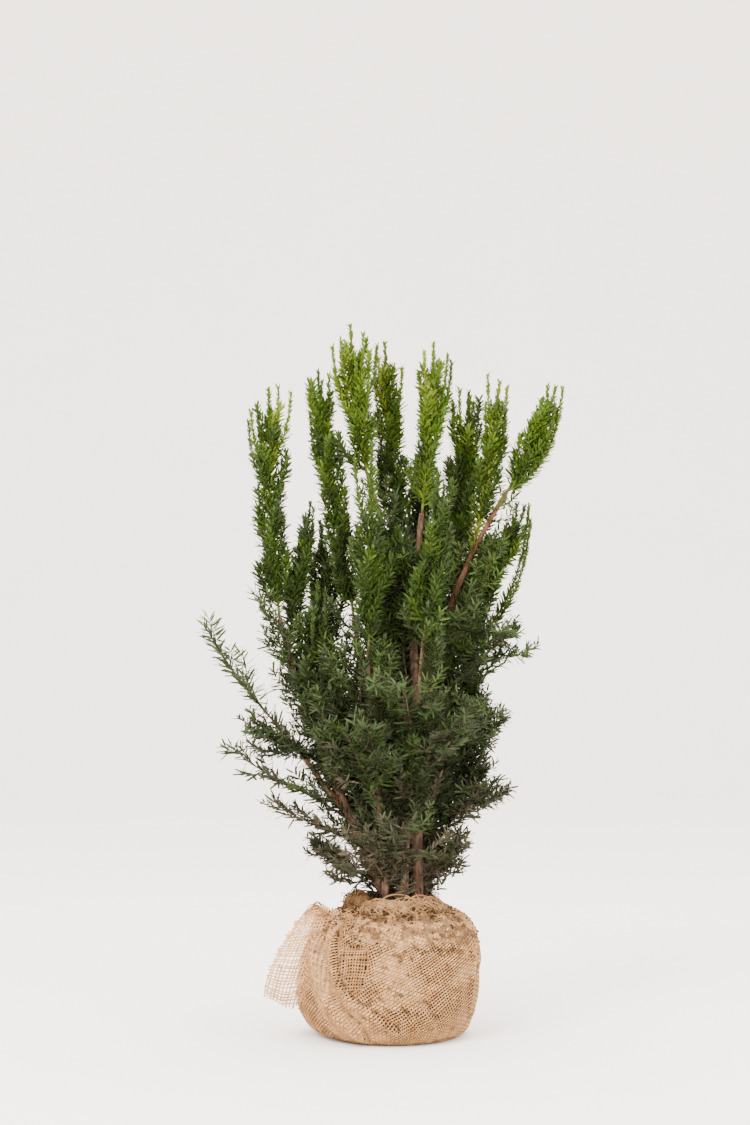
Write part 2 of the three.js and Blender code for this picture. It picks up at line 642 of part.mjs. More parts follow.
// A needle on every free patch of a shoot, except where it would touch something. The needles
// of one mass meet at their feet, so among them only the part above the foot has to be clear.
function addNeedles(shoot, kind, others, ownParts, isLeader) {
  for (const patch of shoot.patches) {
    const apex = needleApex(patch, kind);
    const raised = patch.corners.map((corner) => corner.clone().lerp(apex, NEEDLE_FOOT));
    const bare = patch.twig || (patch.ring === 0 && isLeader);
    const needle = boxed(needleSolid(patch.corners, apex));
    const upperPart = boxed(needleSolid(raised, apex));
    if (!bare && isClear(needle, others) && isClear(upperPart, ownParts, 0)) {
      patch.apex = apex;
      ownParts.push(needle);
    }
  }
}

// adds a shoot to a skin; a twig grows out of the four corners of its patch
function addShoot(skin, shoot, root) {
  const loops = shoot.rings.map((ring) => addLoop(skin, ring.points));
  if (root) {
    addBand(skin, root, loops[0]);
  } else {
    addCap(skin, loops[0], true);
  }
  for (const { ring, side, apex, twig } of shoot.patches) {
    const next = (side + 1) % SHOOT_SIDES;
    const corners = [loops[ring][side], loops[ring][next], loops[ring + 1][next], loops[ring + 1][side]];
    if (twig) {
      addShoot(skin, twig, corners);
    } else if (apex) {
      addPoint(skin, corners, apex);
    } else {
      addCap(skin, corners, false);
    }
  }
  addPoint(skin, loops[loops.length - 1], shoot.tip);
}

function leaderOf(mass, others) {
  const kind = KINDS[mass.kind];
  const path = mass.to ? sleevePath(mass) : leaderPath(mass, kind);
  const leader = shootAlong(path, kind.pitch, SHOOT_RADIUS);
  if (!isClear(leader, others)) {
    throw new Error(`${mass.name} touches something`);
  }
  return leader;
}

function growMass(mass, leader, neighbours) {
  dice = DICE_STEP * (mass.dice ?? MASSES.indexOf(mass));
  const kind = KINDS[mass.kind];
  const host = limbs.get(mass.on);
  const shoots = [leader, ...branch(leader, mass, kind, neighbours)];
  const ownParts = [...shoots];
  for (const shoot of shoots) {
    addNeedles(shoot, kind, neighbours, ownParts, shoot === leader);
  }
  const skin = newSkin();
  addShoot(skin, leader);
  return largestPiece(solidOf(skin.points, skin.triangles).subtract(host.clearance));
}

const ballPieces = {
  soil_core: soil, burlap_wrap: wrap, burlap_roll: rolledCloth(), burlap_flap: looseFlap(),
};
const boxedBall = Object.values(ballPieces).map(boxed);
const leaders = new Map();
for (const mass of MASSES) {
  const otherLimbs = [...limbs.values()].filter((limb) => limb.name !== mass.on);
  const others = [...boxedBall, ...otherLimbs, ...leaders.values()];
  leaders.set(mass.name, leaderOf(mass, others));
}
const masses = new Map();
for (const mass of MASSES) {
  const leader = leaders.get(mass.name);
  leaders.delete(mass.name);
  const neighbours = [...boxedBall, ...limbs.values(), ...masses.values(), ...leaders.values()];
  masses.set(mass.name, { ...boxed(growMass(mass, leader, neighbours)), top: mass.to ?? mass.tip[2] });
}

// ---- the plant ----------------------------------------------------------------------------

const bark = { color: 0x7a5a45, roughness: 0.85 };
const youngBark = { color: 0x8e5f3e, roughness: 0.8 };
const burlap = { color: 0xc9a67c, roughness: 0.95 };
const earth = { color: 0x6b4f38, roughness: 1 };
const lightGreen = { color: 0x5f8f33, roughness: 0.6 };
const green = { color: 0x3d6b34, roughness: 0.6 };
const darkGreen = { color: 0x2f4f38, roughness: 0.65 };
const LIGHT_ABOVE = 780;
const DARK_BELOW = 430;

const plant = new THREE.Group();

function addPiece(name, solid, look) {
  const mesh = new THREE.Mesh(geometryOf(solid), new THREE.MeshStandardMaterial({ ...look, metalness: 0 }));
  mesh.name = name;
  plant.add(mesh);
}

function foliageLook(top) {
  if (top > LIGHT_ABOVE) {
    return lightGreen;
  }
  return top < DARK_BELOW ? darkGreen : green;
}

for (const [name, solid] of Object.entries(ballPieces)) {
  addPiece(name, solid, name === 'soil_core' ? earth : burlap);
}
for (const { name, solid } of limbs.values()) {
  addPiece(name, solid, name.startsWith('stem') ? bark : youngBark);
}
for (const [name, { solid, top }] of masses) {
  addPiece(name, solid, foliageLook(top));
}

export default plant;
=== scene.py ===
"""A young hedging yew on its burlap root ball: bark, needles and woven cloth on the CAD frame."""
import math

import bpy
import numpy as np
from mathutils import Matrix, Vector


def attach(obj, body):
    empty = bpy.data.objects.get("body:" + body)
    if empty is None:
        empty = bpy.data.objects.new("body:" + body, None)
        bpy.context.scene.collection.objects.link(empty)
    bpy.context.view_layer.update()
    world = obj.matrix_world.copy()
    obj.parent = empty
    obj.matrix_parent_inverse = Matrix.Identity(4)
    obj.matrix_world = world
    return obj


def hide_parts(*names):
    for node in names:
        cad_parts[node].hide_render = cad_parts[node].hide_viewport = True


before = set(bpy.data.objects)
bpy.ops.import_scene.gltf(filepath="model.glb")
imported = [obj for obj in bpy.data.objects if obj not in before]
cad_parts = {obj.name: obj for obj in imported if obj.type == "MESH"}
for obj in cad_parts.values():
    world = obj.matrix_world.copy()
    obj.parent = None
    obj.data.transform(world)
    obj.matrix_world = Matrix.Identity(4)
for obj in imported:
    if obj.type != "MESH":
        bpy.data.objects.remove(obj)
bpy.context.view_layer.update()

# ---- sizes: millimetres unless a name says otherwise, as in the CAD source

MM = 0.001
UP = np.array([0.0, 0.0, 1.0])
GOLDEN_ANGLE = 2.399963
NOISE_ROWS = 257  # cells of noise along v, and the row that v = 0 falls on
NOISE_START = 40

RIM_HEIGHT = 168  # top of the wrap's neck
SOIL_HEIGHT = 160
BALL_SHIFT = -12  # the ball bulges to the left of its foot and neck
SHIFT_END = 0.8  # part of the height over which it does
BALL_PROFILE = [  # radius and height, from the middle of the underside over the rim into the neck
    (30, 0.8), (75, 0.9), (93, 7), (103, 19), (111, 42), (112, 72), (108, 106),
    (100, 130), (84, 148), (61, 159), (51, 166), (48.5, 169.5), (45.5, 168), (45, 161),
]


# ---- small tools

def unit(vectors):
    return vectors / np.maximum(np.linalg.norm(vectors, axis=-1, keepdims=True), 1e-9)


def smooth_noise(u, v, seed, period=64):
    """Value noise from -1 to 1; u repeats after `period` cells."""
    table = np.random.default_rng(seed).uniform(-1, 1, (period, NOISE_ROWS))
    u, v = np.asarray(u, float), np.asarray(v, float) + NOISE_START
    u0, v0 = np.floor(u).astype(int), np.floor(v).astype(int)
    fu, fv = (f * f * (3 - 2 * f) for f in (u - u0, v - v0))
    a, b, c, d = (table[(u0 + i) % period, (v0 + j) % NOISE_ROWS] for j in (0, 1) for i in (0, 1))
    return (a * (1 - fu) + b * fu) * (1 - fv) + (c * (1 - fu) + d * fu) * fv


def hermite(start, end, leave, arrive):
    """A smooth path between two points, as a function of a number or an array from 0 to 1."""
    def at(t):
        t = np.asarray(t, float)[..., None]
        a = 2 * t**3 - 3 * t**2 + 1
        b = t**3 - 2 * t**2 + t
        c = t**3 - t**2
        return a * start + b * leave + (1 - a) * end + c * arrive
    return at


def along(at, t):
    t = np.asarray(t, float)
    return unit(at(np.minimum(t + 0.01, 1)) - at(np.maximum(t - 0.01, 0)))


def cross_axes(at, t):
    """Directions of travel on a path, and a level and an upper direction across it."""
    forward = along(at, t)
    chord = unit(at(1.0) - at(0.0))
    level = np.array([-chord[1], chord[0], 0.0])
    if np.linalg.norm(level) < 0.2:
        level = np.array([1.0, 0.0, 0.0])
    level = unit(level - forward * (forward @ level)[..., None])
    return forward, level, np.cross(forward, level)


def spline(points, t):
    """A smooth curve through points; t is 0 at the first and grows by 1 to each next one."""
    padded = np.vstack([2 * points[0] - points[1], points, 2 * points[-1] - points[-2]])
    low = np.clip(np.floor(t).astype(int), 0, len(points) - 2)
    p0, p1, p2, p3 = (padded[low + k] for k in range(4))
    f = (t - low)[:, None]
    return 0.5 * (2 * p1 + (p2 - p0) * f + (2 * p0 - 5 * p1 + 4 * p2 - p3) * f**2
                  + (3 * p1 - p0 - 3 * p2 + p3) * f**3)


def band_corners(rows, columns):
    """Each cell's corners in a grid of points whose rows close on themselves, anticlockwise."""
    index = np.arange(rows * columns).reshape(rows, columns)
    after = np.roll(index, -1, axis=1)
    return index[:-1], after[:-1], after[1:], index[1:]


class Skin:
    """Triangles gathered from many small parts, to be made into one mesh."""

    def __init__(self):
        self.points = []
        self.faces = []
        self.count = 0

    def add(self, points, faces):
        self.points.append(points.reshape(-1, 3))
        self.faces.append(faces.reshape(-1, 3) + self.count)
        self.count += points.size // 3

    def triangles(self):
        return sum(len(faces) for faces in self.faces)


def add_tubes(skin, rings):
    """Closed tubes from an array of rings [tube, ring, side, xyz] that run anticlockwise."""
    tubes, length, sides, _ = rings.shape
    ends = rings.mean(axis=2)
    tube = np.arange(tubes)[:, None, None] * (length * sides + 2)
    ring = np.arange(length - 1)[None, :, None] * sides
    side = np.arange(sides)[None, None, :]
    after = (side + 1) % sides
    a = tube + ring + side
    b = tube + ring + after
    walls = np.stack([a, b, b + sides, a, b + sides, a + sides], axis=-1)
    tube = tube[:, 0]
    first, last = tube + length * sides, tube + (length - 1) * sides
    base = np.stack(np.broadcast_arrays(first, tube + after[0], tube + side[0]), axis=-1)
    tip = np.stack(np.broadcast_arrays(last + side[0], last + after[0], first + 1), axis=-1)
    points = np.concatenate([rings.reshape(tubes, -1, 3), ends[:, :1], ends[:, -1:]], axis=1)
    faces = np.concatenate([walls.reshape(-1, 3), base.reshape(-1, 3), tip.reshape(-1, 3)])
    skin.add(points, faces)


def rings_round(centres, level, upper, radii, sides):
    """Rings of points round centres; radii may differ from point to point."""
    angle = 2 * np.pi * np.arange(sides) / sides
    radii = np.asarray(radii)
    if radii.ndim < centres.ndim:
        radii = radii[..., None]
    level, upper = level[..., None, :], upper[..., None, :]
    ring = level * np.cos(angle)[:, None] + upper * np.sin(angle)[:, None]
    return centres[..., None, :] + ring * radii[..., None]


def make_piece(name, skin, materials, nodes=(), smooth=False, face_materials=None):
    """One mesh object from a skin, riding on the plant's only body."""
    points = np.concatenate(skin.points) * MM
    faces = np.concatenate(skin.faces)
    mesh = bpy.data.meshes.new(name)
    mesh.vertices.add(len(points))
    mesh.vertices.foreach_set("co", points.astype(np.float32).ravel())
    mesh.loops.add(faces.size)
    mesh.loops.foreach_set("vertex_index", faces.astype(np.int32).ravel())
    mesh.polygons.add(len(faces))
    mesh.polygons.foreach_set("loop_start", np.arange(0, faces.size, 3, dtype=np.int32))
    mesh.polygons.foreach_set("use_smooth", np.full(len(faces), smooth))
    for material in materials:
        mesh.materials.append(material)
    if face_materials is not None:
        mesh.polygons.foreach_set("material_index", face_materials.astype(np.int32))
    mesh.update(calc_edges=True)
    piece = bpy.data.objects.new(name, mesh)
    bpy.context.scene.collection.objects.link(piece)
    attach(piece, "root")
    if nodes:
        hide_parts(*nodes)


# ---- materials

DULL = 0.12  # specular level of bark and needles; Blender's own is 0.5


def new_material(name, roughness, specular):
    material = bpy.data.materials.new(name)
    material.use_nodes = True
    shader = material.node_tree.nodes["Principled BSDF"]
    shader.inputs["Roughness"].default_value = roughness
    shader.inputs["Specular IOR Level"].default_value = specular
    return material, material.node_tree, shader


def noise_node(tree, scale, detail=4.0, stretch=(1, 1, 1)):
    """Noise in the object's own coordinates; stretch draws it out along an axis."""
    coordinates = tree.nodes.new("ShaderNodeTexCoord")
    mapping = tree.nodes.new("ShaderNodeMapping")
    mapping.inputs["Scale"].default_value = stretch
    noise = tree.nodes.new("ShaderNodeTexNoise")
    noise.inputs["Scale"].default_value = scale
    noise.inputs["Detail"].default_value = detail
    tree.links.new(coordinates.outputs["Object"], mapping.inputs["Vector"])
    tree.links.new(mapping.outputs["Vector"], noise.inputs["Vector"])
    return noise


def ramp_node(tree, source, stops):
    """A colour ramp over (place, colour) stops."""
    ramp = tree.nodes.new("ShaderNodeValToRGB")
    elements = ramp.color_ramp.elements
    while len(elements) < len(stops):
        elements.new(0.5)
    for element, (place, colour) in zip(elements, stops):
        element.position = place
        element.color = (*colour, 1)
    tree.links.new(source, ramp.inputs["Fac"])
    return ramp


def bump_node(tree, shader, source, strength, distance):
    bump = tree.nodes.new("ShaderNodeBump")
    bump.inputs["Strength"].default_value = strength
    bump.inputs["Distance"].default_value = distance
    tree.links.new(source, bump.inputs["Height"])
    tree.links.new(bump.outputs["Normal"], shader.inputs["Normal"])


def mottled(name, dark, light, scale, roughness, bump=0.0, specular=0.5):
    """Two tones of one colour, mottled by noise, with a fine relief from the same noise."""
    material, tree, shader = new_material(name, roughness, specular)
    noise = noise_node(tree, scale)
    ramp = ramp_node(tree, noise.outputs["Fac"], [(0.35, dark), (0.65, light)])
    tree.links.new(ramp.outputs["Color"], shader.inputs["Base Color"])
    if bump:
        bump_node(tree, shader, noise.outputs["Fac"], 1.0, bump * MM)
    return material


def bark_material(name, tones):
    """Flaky bark: tones by a noise drawn out along the stem, with cracks and a fine relief."""
    material, tree, shader = new_material(name, 0.8, DULL)
    patches = noise_node(tree, 220, 6, (1, 1, 0.3))
    ramp = ramp_node(tree, patches.outputs["Fac"], list(zip((0.3, 0.5, 0.7), tones)))
    tree.links.new(ramp.outputs["Color"], shader.inputs["Base Color"])
    relief = noise_node(tree, 700, 5, (1, 1, 0.35))
    bump_node(tree, shader, relief.outputs["Fac"], 0.9, 0.5 * MM)
    return material


def needle_material(name, colour):
    """Waxy needle: one base colour, a little lighter and darker from place to place."""
    dark = tuple(0.82 * c for c in colour)
    light = tuple(1.15 * c for c in colour)
    return mottled(name, dark, light, 900, 0.48, specular=DULL)


NEEDLE_TONES = [  # from the foot of the plant to its tips
    ("needles_dark", (0.066, 0.055, 0.035)),
    ("needles_dark", (0.029, 0.030, 0.014)),
    ("needles_dark", (0.022, 0.031, 0.011)),
    ("needles_green", (0.032, 0.049, 0.015)),
    ("needles_green", (0.031, 0.053, 0.010)),
    ("needles_green", (0.044, 0.076, 0.010)),
    ("needles_light", (0.060, 0.104, 0.010)),
    ("needles_light", (0.080, 0.128, 0.010)),
    ("needles_light", (0.140, 0.180, 0.018)),
]
needle_materials = [
    needle_material(f"needle_tone_{tone}", colour) for tone, (_, colour) in enumerate(NEEDLE_TONES)
]
bark = bark_material(
    "bark_brown", [(0.030, 0.018, 0.011), (0.080, 0.044, 0.027), (0.140, 0.088, 0.057)])
young_bark = bark_material(
    "bark_reddish", [(0.050, 0.022, 0.012), (0.115, 0.052, 0.028), (0.19, 0.10, 0.058)])
SURFACES = {  # dark and light tone, scale of the mottling, roughness, relief in millimetres
    "twig_brown": ((0.036, 0.024, 0.015), (0.080, 0.054, 0.034), 300, 0.7, 0.2),
    "twig_green": ((0.060, 0.062, 0.014), (0.125, 0.105, 0.030), 300, 0.6, 0.1),
    "soil_crumbly": ((0.016, 0.008, 0.004), (0.050, 0.026, 0.013), 260, 0.95, 1.2),
    "clay_smear": ((0.165, 0.084, 0.034), (0.325, 0.180, 0.082), 150, 0.9, 0.8),
    # clay darkened by soil stains, used also for painted shade on the clay
    "clay_stain_and_shade": ((0.048, 0.024, 0.010), (0.150, 0.076, 0.031), 190, 0.9, 0.8),
    "jute": ((0.160, 0.076, 0.028), (0.325, 0.172, 0.074), 90, 0.85, 0.3),
    "jute_light": ((0.265, 0.136, 0.056), (0.45, 0.262, 0.124), 110, 0.85, 0.3),
    "jute_pale": ((0.36, 0.190, 0.082), (0.56, 0.335, 0.17), 120, 0.85, 0.3),
    "jute_brown": ((0.085, 0.045, 0.019), (0.210, 0.115, 0.050), 160, 0.85, 0.3),
}
surfaces = {name: mottled(name, *look, specular=0.1) for name, look in SURFACES.items()}

# ---- camera, light and floor

CAMERA_DISTANCE = 3200
CAMERA_X = -26.25
CAMERA_HEIGHT = 589
PICTURE_HEIGHT = 1125 * 1.25  # the picture's pixels, at 1.25 millimetres each
SENSOR = 36.0  # Blender's own unit, also millimetres


def add_camera():
    camera = bpy.data.cameras.new("camera")
    camera.sensor_fit = "VERTICAL"
    camera.sensor_height = SENSOR
    camera.lens = SENSOR * CAMERA_DISTANCE / PICTURE_HEIGHT
    camera.clip_end = 100
    holder = bpy.data.objects.new("camera", camera)
    holder.location = Vector((CAMERA_X, -CAMERA_DISTANCE, CAMERA_HEIGHT)) * MM
    holder.rotation_euler = (math.radians(90), 0, 0)
    bpy.context.scene.collection.objects.link(holder)
    bpy.context.scene.camera = holder


def add_light(name, place, size, power, colour=(1, 1, 1)):
    light = bpy.data.lights.new(name, "AREA")
    light.shape = "DISK"
    light.size = size
    light.energy = power
    light.color = colour
    holder = bpy.data.objects.new(name, light)
    holder.location = place
    aim = Vector((0, 0, 0.45)) - Vector(place)
    holder.rotation_euler = aim.to_track_quat("-Z", "Y").to_euler()
    bpy.context.scene.collection.objects.link(holder)


def add_floor():
    """A pale floor that runs up behind in one sweep; its sizes are metres."""
    radius, depth, half_width, height, front = 2.0, 3.0, 9.0, 7.0, -9.0
    bend = [(depth + radius * math.sin(a), radius - radius * math.cos(a))
            for a in np.linspace(0, math.pi / 2, 17)]
    outline = [(front, 0.0), *bend, (depth + radius, height)]
    points = [(x, y, z) for y, z in outline for x in (-half_width, half_width)]
    faces = [(2 * i, 2 * i + 1, 2 * i + 3, 2 * i + 2) for i in range(len(outline) - 1)]
    mesh = bpy.data.meshes.new("floor")
    mesh.from_pydata(points, [], faces)
    mesh.polygons.foreach_set("use_smooth", [True] * len(faces))
    paper = mottled("floor_paper", (0.87, 0.83, 0.79), (0.885, 0.845, 0.805), 3, 0.95)
    mesh.materials.append(paper)
    floor = bpy.data.objects.new("floor", mesh)
    bpy.context.scene.collection.objects.link(floor)


add_camera()
add_floor()
add_light("key", (-1.6, -2.4, 2.6), 2.0, 250, (1.0, 0.97, 0.93))
add_light("fill", (2.2, -2.0, 1.4), 2.4, 85, (0.98, 0.985, 1.0))
add_light("top", (0.2, 0.4, 3.0), 2.6, 115)
world = bpy.data.worlds.new("studio")
world.use_nodes = True
sky = world.node_tree.nodes["Background"].inputs
sky["Color"].default_value = (0.985, 0.94, 0.885, 1)
sky["Strength"].default_value = 3.9
bpy.context.scene.world = world

# ---- stems and boughs

# name: where it starts (x, y on the soil, or the limb and height it leaves), how far it moves in
# x and y for each millimetre it rises there, its tip, the same at the tip, and its two radii
LIMBS = {
    "stem_main": ((26, -11), (0.01, -0.04), (32, -24, 650), (0.12, 0.02), 8, 3),
    "stem_left": ((-7, -6), (-0.44, -0.15), (-144, -33, 520), (-0.23, 0), 6.5, 2.7),
    "stem_centre": ((7, 6), (-0.09, 0.05), (-34, 0, 690), (-0.37, -0.05), 5.2, 2.7),
    "stem_right_centre": ((36, 13), (0.08, 0.08), (78, 30, 590), (0.05, 0.01), 5, 2.7),
    "stem_back_left": ((-10, 16), (-0.21, 0.15), (-81, 48, 465), (-0.26, 0.1), 5, 2.7),
    "stem_back": ((9, 20), (0, 0.12), (4, 44, 590), (-0.05, 0), 5, 2.7),
    "stem_front": ((10, -28), (0, -0.3), (34, -84, 500), (0.1, 0.05), 4.6, 2.7),
    "stem_front_left": ((-12, -26), (-0.03, -0.3), (-34, -78, 480), (0, 0.1), 4.4, 2.7),
    "stem_back_low": ((12, 33), (-0.05, 0.3), (22, 104, 500), (0.08, 0), 4.4, 2.7),
    "stem_back_right": ((29, 24), (0.1, 0.25), (76, 84, 500), (0.05, 0), 4.4, 2.7),
    "bough_centre_left": (("stem_centre", 361), (-0.57, 0.05), (-53, 9, 520), (-0.14, 0), 4, 2.6),
    "bough_right": (("stem_main", 306), (0.08, 0.1), (138, -12, 677), (0.64, -0.05), 5.2, 2.6),
    "bough_left_outer": (("stem_left", 273), (-0.84, -0.2), (-113, -31, 345), (-0.8, -0.13), 3.8,
                         2.6),
}
BARK_SIDES = 22
BARK_STEP = 3.0  # from ring to ring
BARK_RELIEF = 0.055  # of the radius, as are the next three
SWELLING = 0.05
KNOT_HEIGHT = 0.22
FOOT_RIBS = 0.14
RIB_COUNT = 5
RIB_LENGTH = 22  # up from the soil
KNOT_SPACING = 16
KNOT_SIZE = (0.07, 2.4)  # part of the way round the limb, and millimetres along it
TAPER = 0.8  # below 1, a limb thins faster towards its tip
FLARE = 0.2  # extra radius of a stem where it enters the soil
FLARE_LENGTH = 14
limb_paths = {}
limb_places = {}


def is_bough(name):
    return isinstance(LIMBS[name][0][0], str)


def limb_path(name):
    """The limb's middle line, and the function that turns a height into a place on it."""
    start, lean, tip, tip_lean, _, _ = LIMBS[name]
    if is_bough(name):
        host, height = start
        foot = limb_paths[host](limb_places[host](height))
    else:
        foot = np.array([*start, SOIL_HEIGHT - 1.0])
    tip = np.array(tip, float)
    rise = tip[2] - foot[2]
    leave, arrive = (np.array([*slope, 1.0]) * rise for slope in (lean, tip_lean))
    return hermite(foot, tip, leave, arrive), lambda height: (height - foot[2]) / rise


def add_limb(skin, name, seed):
    """A tapering limb with ridged, flaking bark and the knots of lost twigs."""
    path = limb_paths[name]
    radius, tip_radius = LIMBS[name][-2:]
    length = np.linalg.norm(path(1.0) - path(0.0))
    t = np.linspace(0, 1, int(length / BARK_STEP))
    _, level, upper = cross_axes(path, t)
    taper = tip_radius + (radius - tip_radius) * (1 - t) ** TAPER
    if not is_bough(name):
        taper = taper + FLARE * radius * np.exp(-t * length / FLARE_LENGTH)
    around, up = np.meshgrid(np.arange(BARK_SIDES) / BARK_SIDES, t * length)
    ridges = smooth_noise(around * 11, up / 26, seed, 11)
    flakes = np.tanh(3 * smooth_noise(around * 7, up / 9, seed + 1, 7))
    swell = smooth_noise(around * 3, up / 34, seed + 2, 3)
    relief = BARK_RELIEF * (ridges + 0.7 * flakes) + SWELLING * swell
    if not is_bough(name):
        ribs = np.cos(2 * np.pi * RIB_COUNT * around + seed)
        relief = relief + np.exp(-up / RIB_LENGTH) * FOOT_RIBS * ribs
    knots = np.random.default_rng(seed + 3)
    for _ in range(int(length / KNOT_SPACING)):
        side, place = knots.uniform(0, 1), knots.uniform(0, length)
        across = (around - side + 0.5) % 1 - 0.5
        wide, tall = across / KNOT_SIZE[0], (up - place) / KNOT_SIZE[1]
        relief += KNOT_HEIGHT * np.exp(-wide**2 - tall**2)
    rings = rings_round(path(t), level, upper, taper[:, None] * (1 + relief), BARK_SIDES)
    add_tubes(skin, rings[None])


for limb in LIMBS:
    limb_paths[limb], limb_places[limb] = limb_path(limb)
for piece_name, material, slot in (("stems", bark, "bark"), ("boughs", young_bark, "young_bark")):
    wood = Skin()
    names = [name for name in LIMBS if is_bough(name) == (piece_name == "boughs")]
    for index, limb in enumerate(names):
        add_limb(wood, limb, 11 + 7 * index)
    make_piece(piece_name, wood, [material], names, smooth=True)

# ---- foliage

# Masses as in the CAD source. A plume or spray has its limb, the height it leaves the limb (None
# is the limb's tip), the tip of its leading shoot and its reach; a sleeve has its limb, the
# heights between which it runs beside it, the angle of that side in degrees and its reach.
PLUMES = {
    "plume_left": ("stem_left", None, (-158, -26, 804), 21),
    "plume_main": ("stem_main", None, (47, -12, 860), 22),
    "plume_centre": ("stem_centre", None, (-57, -6, 884), 32),
    "plume_centre_left": ("bough_centre_left", None, (-98, 14, 828), 21),
    "plume_back": ("stem_back", None, (-14, 45, 866), 18),
    "plume_right_centre": ("stem_right_centre", None, (92, 30, 803), 21),
    "plume_right": ("bough_right", None, (198, -16, 805), 15),
    "plume_right_inner": ("bough_right", 590, (130, 8, 815), 15),
    "plume_front": ("stem_front", None, (50, -70, 700), 22),
    "plume_front_left": ("stem_front_left", None, (-30, -58, 735), 26),
    "plume_back_low": ("stem_back_low", None, (36, 92, 745), 26),
    "plume_back_right": ("stem_back_right", None, (84, 80, 735), 26),
    "plume_back_left": ("stem_back_left", None, (-96, 62, 640), 26),
    "plume_right_outer": ("stem_right_centre", 470, (160, -14, 659), 14),
    "plume_left_inner": ("stem_left", 470, (-107, -12, 661), 10),
    "plume_mid_left": ("stem_left", 385, (-97, -50, 562), 26),
}
SLEEVES = {
    "sleeve_left_low": ("stem_left", 300, 440, 45, 42),
    "sleeve_front_left": ("stem_front_left", 350, 470, 190, 44),
    "sleeve_main_low": ("stem_main", 230, 400, 100, 46),
    "sleeve_main_high": ("stem_main", 420, 590, 200, 34),
    "sleeve_centre_low": ("stem_centre", 280, 440, 230, 46),
    "sleeve_centre_high": ("stem_centre", 460, 660, 270, 22),
    "sleeve_right_low": ("stem_right_centre", 270, 430, 30, 46),
    "sleeve_right_high": ("bough_right", 440, 610, 330, 46),
    "sleeve_back": ("stem_back", 300, 500, 100, 46),
    "sleeve_back_low": ("stem_back_low", 230, 440, 120, 46),
    "sleeve_back_right": ("stem_back_right", 230, 440, 40, 46),
    "sleeve_back_left": ("stem_back_left", 220, 420, 140, 46),
}
SPRAYS = {
    "spray_left_fork": ("stem_left", 430, (-167, -45, 546), 20),
    "spray_left_outer": ("bough_left_outer", None, (-236, -48, 512), 22),
    "spray_left_low": ("stem_left", 262, (-202, -62, 364), 34),
    "spray_left_third": ("stem_left", 330, (-168, -14, 385), 26),
    "spray_left_lowest": ("stem_left", 230, (-153, 6, 290), 26),
    "spray_low_left": ("stem_left", 184, (-98, -22, 236), 34),
    "spray_low_front_left": ("stem_front_left", 195, (-44, -105, 255), 38),
    "spray_low_front": ("stem_front", 200, (6, -125, 270), 38),
    "spray_low_right": ("stem_main", 182, (76, -34, 234), 34),
    "spray_right_low": ("stem_right_centre", 250, (116, -18, 306), 34),
    "spray_right_mid": ("stem_right_centre", 330, (116, 0, 400), 34),
    "spray_right_front": ("stem_front", 300, (92, -85, 410), 38),
    "spray_right_upper": ("stem_right_centre", 415, (136, -22, 506), 42),
    "spray_front": ("stem_front", 360, (8, -132, 450), 40),
    "spray_front_left": ("stem_front_left", 290, (-62, -118, 390), 40),
}
# the slender sprays that stand out on the left: their twigs are fewer and shorter
SLENDER = ("spray_left_outer", "spray_left_low", "spray_left_lowest", "spray_left_fork")
# tips of the upright shoots that top a plume: x and height
CANDLES = {
    "plume_left": ((-146, 805), (-130, 798), (-179, 773), (-171, 777), (-183, 761), (-152, 770)),
    "plume_main": ((35, 848), (54, 840), (64, 846), (69, 837), (30, 815), (58, 806)),
    "plume_centre": ((-69, 866), (-79, 855), (-41, 872), (-24, 857), (-50, 842), (-66, 835),
                     (-34, 830)),
    "plume_centre_left": ((-93, 815), (-106, 800), (-84, 822), (-90, 790), (-108, 775)),
    "plume_back": ((-8, 838), (8, 834), (-22, 846), (4, 806), (-26, 818)),
    "plume_right_centre": ((80, 807), (94, 796), (104, 782), (72, 790), (98, 768)),
    "plume_right": ((189, 808), (207, 803), (180, 786), (196, 783), (172, 765), (186, 759)),
    "plume_right_inner": ((115, 820), (126, 800), (140, 807), (112, 784), (137, 778)),
    "plume_right_outer": ((151, 660), (166, 658), (138, 636), (168, 640)),
    "plume_left_inner": ((-103, 655), (-112, 640)),
}
LOOSE_CANDLES = 5  # on a plume whose tips aren't listed

# needle: its length near a shoot's foot; step: from twig to twig on the leading shoot; lift: how
# far that shoot turns upright at its tip; start: how far it follows its limb at its foot; twig: a
# twig's length; rise: how far twigs turn upright; flat: 1 for needles in two ranks, 0 for needles
# all round; lean: of the needles, radians; spacing: from needle to needle; finer: length above
# which a twig bears twiglets; spread: share of the mass's reach that its twigs take; tier: twigs
# that leave the shoot at one height; broad: of the needles, 1 where it isn't given
KINDS = {
    "plume": dict(needle=18, step=5.1, lift=1.1, start=0.9, twig=34, rise=1.4, flat=0.0, lean=0.9,
                  spacing=0.74, finer=60, spread=0.9, tier=3, broad=1.16),
    "sleeve": dict(needle=18, step=4.8, twig=66, rise=0.7, flat=0.65, lean=1.15, spacing=1.5,
                   finer=28, spread=1.0, tier=1),
    "spray": dict(needle=18.5, step=6.5, lift=0.35, start=0.5, twig=58, rise=0.35, flat=0.8,
                  lean=1.15, spacing=1.5, finer=28, spread=1.0, tier=1),
    "slender": dict(needle=22, step=15, lift=0.35, start=0.5, twig=42, rise=0.35, flat=0.9,
                    lean=1.1, spacing=1.9, finer=60, spread=1.0, tier=1),
    "candle": dict(needle=14.5, flat=0.0, lean=0.75, spacing=0.85),
    "fringe": dict(flat=0.6, lean=1.1, spacing=1.5),
}
SHOOT_RADIUS = 1.8
TWIG_RADII = (0.95, 0.65)  # on a leading shoot and on a twig
CANDLE_RADIUS = 1.1
FRINGE_RADIUS = 0.7
TWIG_ANGLE = 0.75  # at which a twig leaves its shoot, radians
TWIG_OVERSHOOT = 14  # how far a twig may end beyond its shoot's tip
